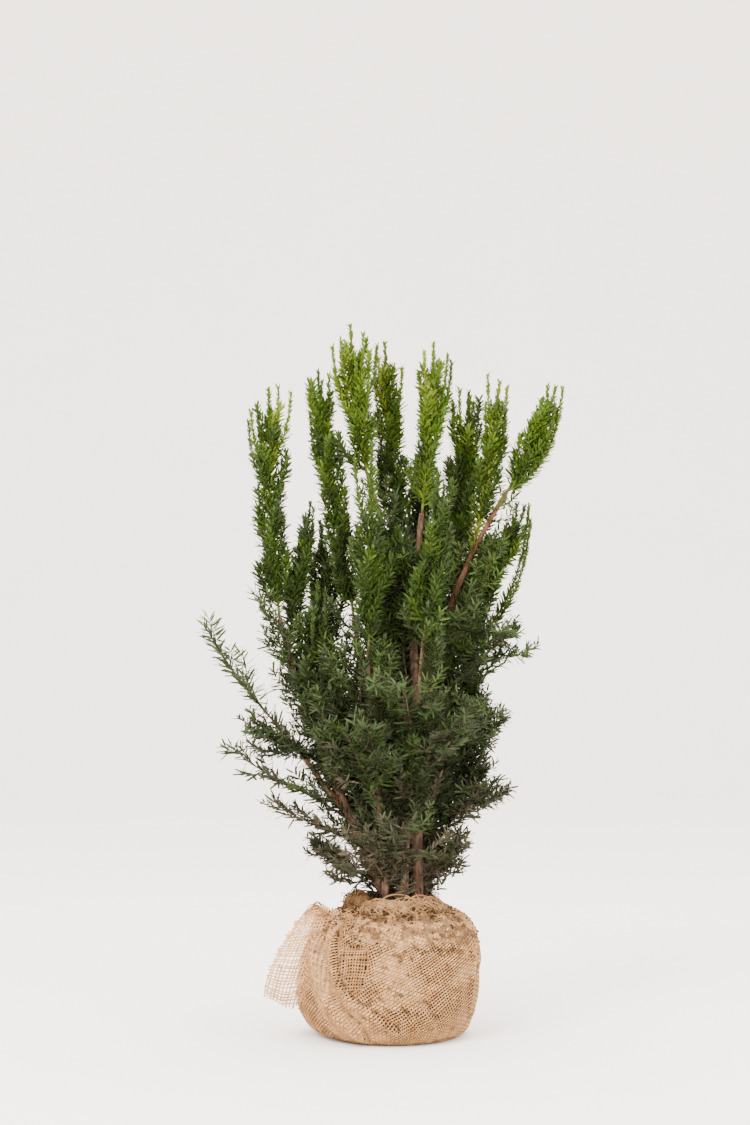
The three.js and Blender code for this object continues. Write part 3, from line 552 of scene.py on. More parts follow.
TWIG_SHARES = (0.65, 0.85, 1.0, 1.05)  # of its kind's length, by chance
BEADS = (0.6, 0.85, 1.12)  # the same for each tier of a plume, which makes it knotty
TWIGLETS = dict(step=14, first=0.28, share=0.42)
SLEEVE_OFFSET = 11  # from a limb to the leading shoot that runs beside it
CROWN = 42  # the length of a plume's leading shoot that is topped by upright shoots alone
CANDLE_RISE = (70, 95)  # from an upright shoot's foot to its tip
CANDLE_DEPTH = 16  # how far its tip lies before or behind the plume's
NEEDLE_WIDTH = 0.14  # of its length
SMALLEST_WIDTH = 2.45
NEEDLE_PARTS = (0.22, 0.56, 0.22)  # from its foot to its tip, of its length
NEEDLE_FOLD = 0.2  # depth of the fold along its middle, of its width
FAR_WIDTH = 0.85  # of its width, at the start of the last part
LOW_CROWN, HIGH_CROWN = 560, 840  # heights between which needles get shorter
TUFT = 0.88  # part of a shoot's length where the tuft of needles at its tip starts
WINDOWS = [  # where a stem shows: x and height of both ends, and what y lies before it
    (22, 410, 22, 488, -22), (25, 172, 25, 262, -15), (-18, 177, -44, 244, -14),
    (-64, 286, -88, 334, -36), (-33, 640, -26, 716, -4), (27, 602, 35, 692, -26),
    (67, 542, 116, 645, -14),
]
WINDOW_WIDTH = 8  # to either side
# Short twigs straight off a limb grow from one height to another: from FRINGE_FROM to FRINGE_END
# below its tip, unless the heights are listed.
FRINGE_FROM, FRINGE_END = 168, 5
FRINGES = {"stem_main": (170, 640), "bough_centre_left": (370, 515), "bough_right": (320, 660),
           "bough_left_outer": None}
FRINGE_STEP = (4.0, 6.5)  # from twig to twig, at the foot and from FRINGE_FOOT up
FRINGE_FOOT = 260
FRINGE_LENGTH = (30, 54)
SCREENS = [  # more twigs before a stem, towards the viewer: between which heights, how far aside
    ("stem_front", 262, 405, 0), ("stem_main", 262, 402, 0), ("stem_front", 408, 500, 1.3),
    ("stem_main", 492, 600, 0),
]
SCREEN_STEP = 4.5
SCREEN_LENGTH = (22, 42)
rng = np.random.default_rng(20241)


def leader_path(host, height, tip, kind):
    """The leading shoot's path: off the limb along its own direction, then up to its tip."""
    place = 1.0 if height is None else limb_places[host](height)
    foot = limb_paths[host](place)
    tip = np.array(tip, float)
    length = np.linalg.norm(tip - foot)
    to_tip = unit(tip - foot)
    follow = 1.0 if height is None else kind["start"]
    leave = unit(along(limb_paths[host], place) * follow + to_tip)
    arrive = unit(to_tip + UP * kind["lift"])
    return hermite(foot, tip, leave * length, arrive * length)


def sleeve_path(host, low, high, side):
    """The path of a leading shoot that runs beside its limb."""
    start, end = (limb_paths[host](limb_places[host](height)) for height in (low, high))
    angle = math.radians(side)
    outward = np.array([math.cos(angle), math.sin(angle), 0])
    chord = end - start
    leave = chord + outward * np.linalg.norm(chord) / 2
    return hermite(start, end + outward * SLEEVE_OFFSET, leave, chord)


def twig_path(foot, forward, outward, length, reach, rise):
    """A twig's path: out from its parent, then nearly parallel to it."""
    sideways = min(length * math.sin(TWIG_ANGLE), reach)
    ahead = math.sqrt(length**2 - sideways**2)
    end = foot + outward * sideways + forward * ahead + UP * rise * sideways * 0.4
    leave = outward * 1.6 * sideways + forward * 0.6 * ahead
    arrive = forward * ahead + UP * rise * sideways
    return hermite(foot, end, leave, arrive)


def shoot_of(path, radius, order, kind, needle):
    points = path(np.linspace(0, 1, 9))
    length = np.linalg.norm(np.diff(points, axis=0), axis=1).sum()
    return dict(path=path, length=length, radius=radius, order=order, kind=kind, needle=needle,
                top=points[-1, 2])


def outward_at(path, t, azimuth):
    """The direction of travel at a place on a path, and a direction square to it."""
    forward, level, upper = (axis[0] for axis in cross_axes(path, np.array([t])))
    return forward, level * math.cos(azimuth) + upper * math.sin(azimuth)


def twigs_on(parent, kind, reach, step, first, share):
    """Twigs along a shoot: all round a plume, on both sides of a flat spray."""
    twigs = []
    tier = kind["tier"]
    last = 1 - CROWN / parent["length"] if tier > 1 else 0.96
    count = max(1, round(parent["length"] * (last - first) / step / tier)) * tier
    phase = rng.uniform(0, 2 * math.pi)
    bead = 1.0
    for k in range(count):
        if tier > 1 and k % tier == 0:
            bead = rng.choice(BEADS)
        level = (k // tier + 0.5 + rng.uniform(-0.3, 0.3) / tier) * tier / count
        t = first + (last - first) * level
        ranked = (k % 2) * math.pi + rng.normal(0, 0.45)
        in_tier = k // tier * GOLDEN_ANGLE + k % tier * 2 * math.pi / tier
        all_round = phase + (in_tier if tier > 1 else k * GOLDEN_ANGLE)
        azimuth = ranked if kind["flat"] > 0.6 or parent["order"] else all_round
        forward, outward = outward_at(parent["path"], t, azimuth)
        left = parent["length"] * (1 - t)
        full = kind["twig"] * share * (1.15 - 0.4 * t) * rng.choice(TWIG_SHARES) * bead
        length = min(full, left + TWIG_OVERSHOOT) * rng.uniform(0.85, 1.1)
        out = reach * kind["spread"] * bead
        path = twig_path(parent["path"](t), forward, outward, length, out, kind["rise"])
        needle = parent["needle"] * (0.97 - 0.12 * t) * rng.uniform(0.9, 1.08)
        twigs.append(shoot_of(path, TWIG_RADII[parent["order"]], parent["order"] + 1, kind, needle))
    return twigs


def grow(path, kind, reach, bare):
    """A mass: its leading shoot, twigs on that, and twiglets on the longer twigs."""
    leader = shoot_of(path, SHOOT_RADIUS, 0, kind, kind["needle"])
    twigs = twigs_on(leader, kind, reach, step=kind["step"], first=bare, share=1.0)
    finer = []
    for twig in twigs:
        if twig["length"] > kind["finer"]:
            finer += twigs_on(twig, kind, reach / 2, **TWIGLETS)
    return [leader, *twigs, *finer]


def place_at_height(path, height):
    t = np.linspace(0, 1, 200)
    return float(np.interp(height, path(t)[:, 2], t))


def candles_on(name, leader):
    """The upright shoots that top a plume, each from the leading shoot up to its own tip."""
    top = leader["path"](1.0)
    if name in CANDLES:
        tips = [np.array([x, top[1] + rng.uniform(-CANDLE_DEPTH, CANDLE_DEPTH), z])
                for x, z in CANDLES[name]]
    else:
        angles = rng.uniform(0, 6) + GOLDEN_ANGLE * np.arange(LOOSE_CANDLES)
        out = rng.uniform(9, 22, LOOSE_CANDLES)
        tips = [top + np.array([r * math.cos(a), r * math.sin(a), -rng.uniform(4, 60)])
                for a, r in zip(angles, out)]
    candles = []
    for tip in tips:
        rise = rng.uniform(*CANDLE_RISE)
        for _ in range(4):
            foot = leader["path"](place_at_height(leader["path"], tip[2] - rise))
            rise = max(rise, 2.4 * np.linalg.norm((tip - foot)[:2]) + 10)
        span = np.linalg.norm(tip - foot)
        aside = (tip - foot) * (1, 1, 0)
        path = hermite(foot, tip, aside * 2.2 + UP * span * 0.5, aside * 0.15 + UP * span)
        needle = KINDS["candle"]["needle"] * rng.uniform(0.9, 1.1)
        candles.append(shoot_of(path, CANDLE_RADIUS, 1, KINDS["candle"], needle))
    return candles


def fringe_on(name, low, high):
    """Short leafy twigs straight off a limb, longer near its foot."""
    shoots = []
    path = limb_paths[name]
    foot = np.arange(low, min(high, FRINGE_FOOT), FRINGE_STEP[0])
    heights = np.concatenate([foot, np.arange(max(low, FRINGE_FOOT), high, FRINGE_STEP[1])])
    for k, height in enumerate(heights):
        t = limb_places[name](height + rng.uniform(0, 3))
        forward, outward = outward_at(path, t, k * GOLDEN_ANGLE)
        length = rng.uniform(*FRINGE_LENGTH) * np.interp(height, [400, 520], [1.0, 0.7])
        twig = twig_path(path(t), unit(forward + UP * 0.3), outward, length, 36, 0.5)
        shoots.append(shoot_of(twig, FRINGE_RADIUS, 2, KINDS["fringe"], rng.uniform(13, 18)))
    return shoots


def screen_on(name, low, high, turned):
    """Leafy twigs from the side of a stem that the viewer sees."""
    path = limb_paths[name]
    shoots = []
    for height in np.arange(low, high, SCREEN_STEP):
        t = limb_places[name](height)
        aside = unit(np.array([turned + rng.normal(0, 0.6), -1.0, 0.1]))
        twig = twig_path(path(t), UP, aside, rng.uniform(*SCREEN_LENGTH), 30, 0.5)
        shoots.append(shoot_of(twig, FRINGE_RADIUS, 2, KINDS["fringe"], rng.uniform(14, 18)))
    return shoots


def hides_trunk(shoot):
    """Whether a twig passes in front of one of the places where a stem is seen."""
    if shoot["order"] == 0:
        return False
    points = shoot["path"](np.linspace(0.1, 1, 7))
    for x, low, top_x, high, before in WINDOWS:
        aside = points[:, 0] - np.interp(points[:, 2], [low, high], [x, top_x])
        inside = (np.abs(aside) < WINDOW_WIDTH) & (points[:, 1] < before)
        if np.any(inside & (points[:, 2] > low) & (points[:, 2] < high)):
            return True
    return False


masses = {}
for name, (host, height, tip, reach) in PLUMES.items():
    path = leader_path(host, height, tip, KINDS["plume"])
    masses[name] = grow(path, KINDS["plume"], reach, 0.04 if height is None else 0.2)
    masses[name] += candles_on(name, masses[name][0])
for name, (host, low, high, side, reach) in SLEEVES.items():
    kind = KINDS["plume" if name == "sleeve_centre_high" else "sleeve"]
    masses[name] = grow(sleeve_path(host, low, high, side), kind, reach, 0.05)
for name, (host, height, tip, reach) in SPRAYS.items():
    kind = KINDS["slender" if name in SLENDER else "spray"]
    path = leader_path(host, height, tip, kind)
    masses[name] = grow(path, kind, reach, 0.4 if name == "spray_left_outer" else 0.2)
outer_bough = shoot_of(limb_paths["bough_left_outer"], 0, 0, KINDS["slender"], 22)
shoots = [outer_bough, *(shoot for mass in masses.values() for shoot in mass)]
for name, (_, _, tip, *_) in LIMBS.items():
    span = FRINGES.get(name, (FRINGE_FROM, tip[2] - FRINGE_END))
    if span:
        shoots += fringe_on(name, *span)
for name, low, high, turned in SCREENS:
    shoots += screen_on(name, low, high, turned)
shoots = [shoot for shoot in shoots if not hides_trunk(shoot)]


TONE_HEIGHTS = [170, 240, 330, 470, 600, 700, 770, 810, 890]
TONES_THERE = [-0.1, 0.9, 2.0, 3.0, 4.0, 4.5, 5.4, 6.4, 7.4]
YOUNG_TOP = 660  # twigs that end above it are green


def tone_of(shoot):
    """A shoot's place in the list of tones: by its height, its order and chance."""
    tone = np.interp(shoot["top"], TONE_HEIGHTS, TONES_THERE)
    tone += rng.normal(0, 0.75) - 0.3 * (shoot["order"] == 0)
    return int(np.clip(round(tone), 0, len(NEEDLE_TONES) - 1))


# share of a needle's full length along a shoot that tops a plume: full below, short above, and
# a small tuft at the tip
CANDLE_PROFILE = ((0, 0.42, 0.60, 0.92, 1), (1.0, 1.0, 0.44, 0.40, 0.58))
LEADER_PROFILE = ((0, 5, 28, CROWN + 5), (0.42, 0.32, 0.34, 0.9))  # the same by length from the tip


def add_needles(skin, shoot):
    """Needles along a shoot, shorter and closer to it towards the tip, with a tuft at the end."""
    kind = shoot["kind"]
    top = float(np.clip((shoot["top"] - LOW_CROWN) / (HIGH_CROWN - LOW_CROWN), 0, 1))
    count = int(shoot["length"] / kind["spacing"])
    if count < 3:
        return
    number = np.arange(count)
    t = ((number + rng.uniform(0.1, 0.9, count)) / count) ** 0.9
    t = 0.04 + 0.96 * t
    forward, level, upper = cross_axes(shoot["path"], t)
    ranked = np.where(number % 2, 0, np.pi) + rng.normal(0, 0.45, count)
    in_ranks = (rng.uniform(0, 1, count) < kind["flat"]) & (t < TUFT)
    azimuth = np.where(in_ranks, ranked, number * GOLDEN_ANGLE)
    radial = level * np.cos(azimuth)[:, None] + upper * np.sin(azimuth)[:, None]
    lean = kind["lean"] * np.where(t > TUFT, rng.uniform(0.3, 1.15, count), 1.05 - 0.25 * t**3)
    lean = lean * rng.uniform(0.85, 1.15, count)
    direction = forward * np.cos(lean)[:, None] + radial * np.sin(lean)[:, None]
    if kind is KINDS["candle"]:
        share = np.interp(t, *CANDLE_PROFILE)
    elif kind is KINDS["plume"] and shoot["order"] == 0:
        share = np.interp((1 - t) * shoot["length"], *LEADER_PROFILE)
    else:
        share = (1 - 0.25 * t**4) * (1 - 0.2 * top)
    length = shoot["needle"] * share * rng.uniform(0.8, 1.12, count)
    width = np.maximum(length * NEEDLE_WIDTH, SMALLEST_WIDTH) * kind.get("broad", 1.0)
    face = unit(forward + UP * 0.5 + rng.normal(0, 0.45, (count, 3)))
    across = unit(np.cross(direction, face))
    face = np.cross(across, direction)
    bend = forward * rng.uniform(-0.1, 0.14, count)[:, None] + UP * 0.04
    base = shoot["path"](t)
    half = across * width[:, None] / 2
    fold = face * width[:, None] * NEEDLE_FOLD
    step = length[:, None]
    first = base + direction * step * NEEDLE_PARTS[0]
    second = first + unit(direction + bend) * step * NEEDLE_PARTS[1]
    tip = second + unit(direction + 2 * bend) * step * NEEDLE_PARTS[2]
    far = half * FAR_WIDTH
    if kind in (KINDS["plume"], KINDS["candle"]):
        rows = [base, first + half, first - half, second + far, second - far, tip]
    else:
        rows = [base, first + half, first - fold, first - half,
                second + far, second - fold, second - far, tip]
    points = np.stack(rows, axis=1)
    faces = FLAT_NEEDLE if len(rows) == 6 else FOLDED_NEEDLE
    skin.add(points, faces[None] + len(rows) * number[:, None, None])


# a needle's outline as triangles: its foot, two rows across it and its tip; the wider needles of
# the lower crown are folded along their middle
FLAT_NEEDLE = np.array([(0, 2, 1), (1, 2, 4), (1, 4, 3), (3, 4, 5)])
FOLDED_NEEDLE = np.array([(0, 2, 1), (0, 3, 2), (1, 2, 5), (1, 5, 4), (2, 3, 6), (2, 6, 5),
                          (4, 5, 7), (5, 6, 7)])


def add_stem(skin, shoot):
    """The wood of a shoot, with fewer sides the finer it is."""
    sides = (5, 4, 3)[shoot["order"]]
    count = max(3, int(shoot["length"] / 8))
    t = np.linspace(0, 1, count)
    _, level, upper = cross_axes(shoot["path"], t)
    radii = shoot["radius"] * (1 - 0.72 * t)
    add_tubes(skin, rings_round(shoot["path"](t), level, upper, radii, sides)[None])


needle_skins = [Skin() for _ in NEEDLE_TONES]
brown_twigs, green_twigs = Skin(), Skin()
for shoot in shoots:
    tone = tone_of(shoot)
    add_needles(needle_skins[tone], shoot)
    young = shoot["top"] > YOUNG_TOP or (shoot["order"] > 0 and tone > 4)
    if shoot["radius"]:
        add_stem(green_twigs if young else brown_twigs, shoot)
for tone, skin in enumerate(needle_skins):
    slot = NEEDLE_TONES[tone][0]
    make_piece(f"needles_tone_{tone}", skin, [needle_materials[tone]], masses)
make_piece("twigs_brown", brown_twigs, [surfaces["twig_brown"]], smooth=True)
make_piece("twigs_green", green_twigs, [surfaces["twig_green"]], smooth=True)

# ---- root ball

THREAD_PITCH = 3.75  # square to the threads, round the ball's middle
THREAD_WIDTH = (1.4, 3.2)  # where the weave is open and where it is closed
THREAD_CREST = 0.48  # from a thread's edges up to its middle
THREAD_STEP = 1.9
WEAVE = 0.5  # how far a thread goes over and under
STEEP, SHALLOW = math.radians(62), math.radians(32)  # the two families of threads, from level
UNDER_LAYER = 7.5  # how far a thread sinks where a loose layer of cloth covers it
SKIN_DEPTH = 2.7  # from the threads' middle to the earth behind them
DEGREE = 1.9  # millimetres to a degree round the ball's middle
FOLD_HEIGHT = 2.2  # of the folds that run up round the ball
GATHER_HEIGHT = 3  # of the gathers below the neck
CREASE_HEIGHT = 2.2
LOWEST = 1.6  # no middle line of a thread lies lower
CURVE_STEPS = 24  # from one point of the ball's profile to the next
EARTH_GRID = (120, 300)  # rows up the ball and columns round it
SOIL_GRID = (26, 90)
SOIL_RADIUS = 48
CRUMBS = 900
WEAVE_START = 60  # radius on the underside where the threads start
FLAP_BULGE = 42  # how far the flap's outer edge bellies out
FLAP_DISH = 9  # how far its middle bends to the front
FLAP_ARCH = 7  # how far its top arches up and its foot hangs down
FLAP_GRID = (15, 31)  # threads that run down it and across it
ROLL_COURSE = [  # of the rolled end of cloth: its two ends and its directions there
    (-60, 6, 162), (-37, -32, 169), (10, -30, 20), (24, -22, 2),
]
RIM_THREADS, FLAP_THREADS, ROLL_THREADS = 210, 70, 300  # loose threads
OVER_UNDER = (1, -1)  # of the two families of threads, where they cross

# Places on the ball: the angle round it in degrees, 270 towards the viewer, and the height.
LEFT_FOLD = [(180, 142), (203, 123), (216, 94), (227, 64), (237, 37), (247, 18)]
RIGHT_BAND = [(341, 148), (332, 118), (338, 74), (337, 38)]
FOLD_LINES = [  # how high it stands, how wide it is, and its course
    (8.0, 8.5, LEFT_FOLD),
    (4.2, 4.5, [(222, 130), (228, 103), (236, 76), (247, 55), (261, 40), (274, 23)]),
    (2.4, 5.0, [(254, 125), (259, 101), (265, 76), (276, 47), (288, 22)]),
    (2.0, 6.0, [(261, 125), (273, 95), (286, 62), (300, 30)]),
    (3.0, 6.0, RIGHT_BAND),
    (3.0, 5.0, [(238, 150), (263, 143), (285, 146), (309, 144), (325, 126)]),
    (3.2, 5.0, [(211, 145), (212, 154), (235, 151), (241, 136)]),
    (5.0, 7.0, [(222, 146), (236, 134)]),
]
OPEN_PLACES = [  # where the holes show: its middle, half its width and half its height
    (246, 96, 20, 26), (233, 120, 12, 8), (259, 66, 18, 14), (295, 96, 30, 26), (306, 58, 26, 16),
    (281, 36, 26, 12), (215, 48, 14, 16), (120, 90, 40, 26), (60, 60, 34, 20), (20, 110, 24, 16),
]
PATCHES = [  # loose layers of cloth: middle, half width, half height, and the turn of their threads
    (244, 97, 20, 28, 0.12), (229, 140, 13, 13, 0.6), (128, 84, 30, 34, 0.16),
    (52, 92, 26, 30, -0.22),
]


def profile_table():
    """The ball's profile as a smooth curve: distance along it, radius, height and its normal."""
    knots = np.array(BALL_PROFILE, float)
    curve = spline(knots, np.arange((len(knots) - 1) * CURVE_STEPS + 1) / CURVE_STEPS)
    curve[:, 1] = np.maximum(curve[:, 1], knots[0, 1])
    distance = np.concatenate([[0], np.cumsum(np.linalg.norm(np.diff(curve, axis=0), axis=1))])
    direction = unit(np.gradient(curve, axis=0))
    normal = np.stack([direction[:, 1], -direction[:, 0]], axis=1)
    return distance, curve, normal


PROFILE_DISTANCE, PROFILE_CURVE, PROFILE_NORMAL = profile_table()
PROFILE_LENGTH = PROFILE_DISTANCE[-1]
RIM_PLACE = PROFILE_DISTANCE[np.argmax(PROFILE_CURVE[:, 1])]


def on_profile(s, table, column):
    return np.interp(s, PROFILE_DISTANCE, table[:, column])


def height_at(s):
    return on_profile(s, PROFILE_CURVE, 1)


def place_at(height):
    """How far up the profile the outside of the ball has this height."""
    upto = np.argmax(PROFILE_CURVE[:, 1])
    return np.interp(height, PROFILE_CURVE[:upto, 1], PROFILE_DISTANCE[:upto])


def ball_noise(angle, s, cells, length, seed):
    """Noise from -1 to 1 on the ball, with so many cells round it, each of this length upwards."""
    return smooth_noise(angle / (2 * np.pi) * cells, s / length, seed, cells)


def aside_from(angle, middle):
    """Millimetres round the ball's middle from a place given in degrees."""
    return ((np.degrees(angle) - middle + 180) % 360 - 180) * DEGREE


def from_line(angle, height, line):
    """Distance in millimetres to the right of a line drawn on the ball."""
    x = np.degrees(angle) % 360 * DEGREE
    nearest = np.full(np.broadcast(x, height).shape, 1e3)
    for (first, high), (last, low) in zip(line, line[1:]):
        wide, tall = (last - first) * DEGREE, low - high
        t = ((x - first * DEGREE) * wide + (height - high) * tall) / (wide**2 + tall**2)
        t = np.clip(t, 0, 1)
        side = np.sign(wide * (height - high) - tall * (x - first * DEGREE))
        distance = np.hypot(x - first * DEGREE - t * wide, height - high - t * tall) * side
        nearest = np.where(np.abs(distance) < np.abs(nearest), distance, nearest)
    return nearest


def in_places(angle, height, places):
    """1 in the middle of the nearest listed place on the ball, fading to 0 round it."""
    share = 0.0
    for middle, level, wide, tall in places:
        across, up = aside_from(angle, middle) / wide, (height - level) / tall
        share = np.maximum(share, np.exp(-across**2 - up**2))
    return share


def folds(angle, s):
    """Relief of the cloth: the photo's folds and creases, gathers below the neck, and lumps."""
    height = height_at(s)
    level = np.clip(height / RIM_HEIGHT, 0, 1)
    belly = np.sin(np.pi * level)
    behind = np.clip(np.sin(angle) + 0.6, 0, 1)
    spiral = np.maximum(0, np.sin(5 * angle + 7 * level)) ** 1.5 * FOLD_HEIGHT
    spiral = spiral * (0.3 + 0.7 * behind)
    drawn = 0.0
    for tall, wide, line in FOLD_LINES:
        far = from_line(angle, height, line) / wide
        drawn = drawn + tall * (np.exp(-far**2) - 0.6 * np.exp(-(2 * far - 3) ** 2))
    gather = np.maximum(0, np.sin(9 * angle)) ** 1.5 * GATHER_HEIGHT * level ** 3
    creases = 1 - np.abs(smooth_noise(angle / (2 * np.pi) * 9 + level * 2.2, s / 60, 5, 9))
    crease = CREASE_HEIGHT * np.maximum(creases - 0.72, 0) / 0.28
    lumps = ball_noise(angle, s, 7, 45, 3) * 1.6 + ball_noise(angle, s, 24, 16, 4) * 0.5
    return (spiral + gather + lumps + crease) * belly + drawn


def ball_surface(angle, s, offset):
    """Points at an angle and a distance up the ball's profile, raised by an offset."""
    radius, height = on_profile(s, PROFILE_CURVE, 0), height_at(s)
    out, up = (on_profile(s, PROFILE_NORMAL, column) for column in (0, 1))
    raised = folds(angle, s) + offset
    level = np.clip(height / RIM_HEIGHT / SHIFT_END, 0, 1)
    shift = BALL_SHIFT * np.sin(np.pi * level ** 0.6)
    r = radius + raised * out
    z = np.maximum(height + raised * up, LOWEST)
    return np.stack([shift + r * np.cos(angle), r * np.sin(angle), z], axis=-1)


def openness(angle, s):
    """1 where the weave shows holes, 0 where it is pulled tight or smeared over with clay."""
    height = height_at(s)
    field = ball_noise(angle, s, 9, 42, 21) + 0.5 * ball_noise(angle, s, 23, 18, 22)
    fold = np.exp(-(from_line(angle, height, LEFT_FOLD) / 11) ** 2)
    tight = fold + np.clip((height - 122) / 20, 0, 1)
    return np.clip(0.55 + 0.5 * field + 0.9 * in_places(angle, height, OPEN_PLACES) - tight, 0, 1)


def smear(angle, s):
    """Above 0 where clay covers the cloth."""
    height = height_at(s)
    wide = ball_noise(angle, s, 6, 60, 31)
    fine = ball_noise(angle, s, 40, 11, 32) * 0.5 + ball_noise(angle, s, 97, 5, 33) * 0.25
    shoulder = np.interp(height, [102, 128, 145, 162], [0.0, 0.62, 0.75, 0.45])
    bands = (0.85 * np.exp(-(from_line(angle, height, LEFT_FOLD) / 8) ** 2)
             + 0.75 * np.exp(-(from_line(angle, height, RIGHT_BAND) / 8) ** 2))
    open_places = in_places(angle, height, OPEN_PLACES)
    return 0.7 * wide + 1.2 * fine + shoulder + bands - 0.68 - 0.7 * open_places


def stain_and_shade(angle, s):
    """Above 0 where the cloth and the clay are darker: soil stains at random, and painted shade in
    the creases beside the folds and along the underside; also darker towards the neck.
    """
    height = height_at(s)
    fine = 0.75 * ball_noise(angle, s, 34, 10, 34) + 0.75 * ball_noise(angle, s, 110, 3.6, 35)
    # painted shade along the underside, and darker towards the neck
    by_height = np.interp(height, [0, 7, 14, 95, 128, 152, 164],
                          [0.7, 0.1, -0.34, -0.34, 0.2, 0.3, 0.75])
    # painted shade in the crease a little way beside each fold
    crease = 0.0
    for _, wide, line in FOLD_LINES:
        far = np.abs(from_line(angle, height, line))
        crease = np.maximum(crease, np.exp(-((far - 1.45 * wide) / 2.6) ** 2))
    return fine + 0.5 * ball_noise(angle, s, 8, 40, 36) + by_height + 0.75 * crease - 0.70


def under_patch(angle, s):
    """1 where a loose layer of cloth lies over the weave."""
    share = 0.0
    for middle, height, across, down, tilt in PATCHES:
        aside, above = aside_from(angle, middle), s - place_at(height)
        x = aside * math.cos(tilt) + above * math.sin(tilt)
        y = above * math.cos(tilt) - aside * math.sin(tilt)
        inside = 1 - (np.abs(x) / across) ** 3 - (np.abs(y) / down) ** 3
        share = np.maximum(share, np.clip(inside * 4, 0, 1))
    return share


def drift(angle, s):
    """How far the threads wander to the side, as an angle."""
    return 0.09 * ball_noise(angle, s, 4, 70, 41) + 0.02 * ball_noise(angle, s, 13, 24, 42)


def weave_layout():
    """For both families: the number of threads and the turn they make on their way up."""
    girth = 2 * math.pi * max(radius for radius, _ in BALL_PROFILE)
    grid = np.linspace(0, PROFILE_LENGTH, 400)
    radius = np.maximum(on_profile(grid, PROFILE_CURVE, 0), 40)
    layout = []
    for slope, way in ((STEEP, -1), (SHALLOW, 1)):
        number = 2 * round(girth * math.sin(slope) / THREAD_PITCH / 2)
        rate = way / math.tan(slope) / radius
        turn = np.concatenate([[0], np.cumsum((rate[1:] + rate[:-1]) / 2 * np.diff(grid))])
        layout.append((number, turn, slope))
    return grid, layout


def along_tubes(marks, sides):
    """Marks for the faces of tubes, from marks for their rings."""
    ends = np.zeros(2 * len(marks) * sides, bool)
    return np.concatenate([marks[:, :-1].ravel().repeat(2 * sides), ends])


def across_threads(centres, normal, width):
    """From the middle of flat threads to their edge."""
    forward = unit(np.gradient(centres, axis=1))
    return unit(np.cross(normal, forward)) * width[..., None] / 2


def add_threads(skin, angle, s, lift, width, dark_level):
    """Flat threads on the ball, raised by their lift; tells which faces are dark, from soil stains
    and painted shade.
    """
    centres = ball_surface(angle, s, lift)
    normal = unit(ball_surface(angle, s, lift + 1.0) - centres)
    half = across_threads(centres, normal, width)
    rings = np.stack([centres + half, centres + normal * THREAD_CREST, centres - half], axis=2)
    add_tubes(skin, rings)
    # faces past the threshold take the dark jute: soil stains, and painted shade beside the folds
    # and along the underside
    return along_tubes(stain_and_shade(angle, s) > dark_level, 3)


def add_weave(skins):
    """Both families of threads; tells which faces of each are dark, from soil stains and painted
    shade.
    """
    grid, layout = weave_layout()
    stained_and_shaded = []
    start = PROFILE_DISTANCE[np.searchsorted(PROFILE_CURVE[:CURVE_STEPS, 0], WEAVE_START)]
    for family, skin in enumerate(skins):
        number, turn, slope = layout[family]
        other_number, other_turn, _ = layout[1 - family]
        steps = int((PROFILE_LENGTH - start) / math.sin(slope) / THREAD_STEP)
        s = np.linspace(start, PROFILE_LENGTH, steps)[None]
        thread = np.arange(number)[:, None]
        nominal = 2 * np.pi * thread / number + np.interp(s, grid, turn)
        crossing = (nominal - np.interp(s, grid, other_turn)) / (2 * np.pi / other_number)
        wave = OVER_UNDER[family] * WEAVE * np.cos(np.pi * (crossing + thread))
        angle = nominal + drift(nominal, s)
        wave = wave - UNDER_LAYER * under_patch(angle, s)
        openly = openness(angle, s)
        wander = np.random.default_rng(50 + family).uniform(0.85, 1.15, (number, 1))
        squeeze = np.clip(on_profile(s, PROFILE_CURVE, 0) / 100, 0.5, 1)
        width = (THREAD_WIDTH[0] * openly + THREAD_WIDTH[1] * (1 - openly)) * wander * squeeze
        stained_and_shaded.append(add_threads(skin, angle, s, wave, width, 0))
    return stained_and_shaded


def add_patches(skin):
    """Loose layers of cloth with threads of their own direction and ragged ends."""
    dice = np.random.default_rng(95)
    stained_and_shaded = []
    for middle, height, across, down, tilt in PATCHES:
        for family, (half, length) in enumerate(((across, down), (down, across))):
            count = round(2 * half / THREAD_PITCH)
            lane = ((np.arange(count) + 0.5) / count * 2 - 1)[:, None] * half
            lane = lane + dice.normal(0, 0.35, (count, 1))
            ends = length * (1 - 0.22 * (lane / half) ** 2) + dice.uniform(-4, 5, (count, 1))
            run = ends * np.linspace(-1, 1, int(2 * length / THREAD_STEP))[None]
            lane = lane + 3.2 * smooth_noise(run / 21, lane / 30, 96 + family)
            x, y = (lane, run) if family == 0 else (run, lane)
            aside = x * math.cos(tilt) - y * math.sin(tilt)
            above = y * math.cos(tilt) + x * math.sin(tilt)
            crossing = run / THREAD_PITCH + np.arange(count)[:, None]
            wave = OVER_UNDER[family] * WEAVE * np.cos(np.pi * crossing)
            stained_and_shaded.append(add_threads(skin, np.radians(middle + aside / DEGREE),
                                       place_at(height) + above, wave + 0.5,
                                       dice.uniform(1.3, 2.0, (count, 1)), 0.05))
    return np.concatenate(stained_and_shaded)


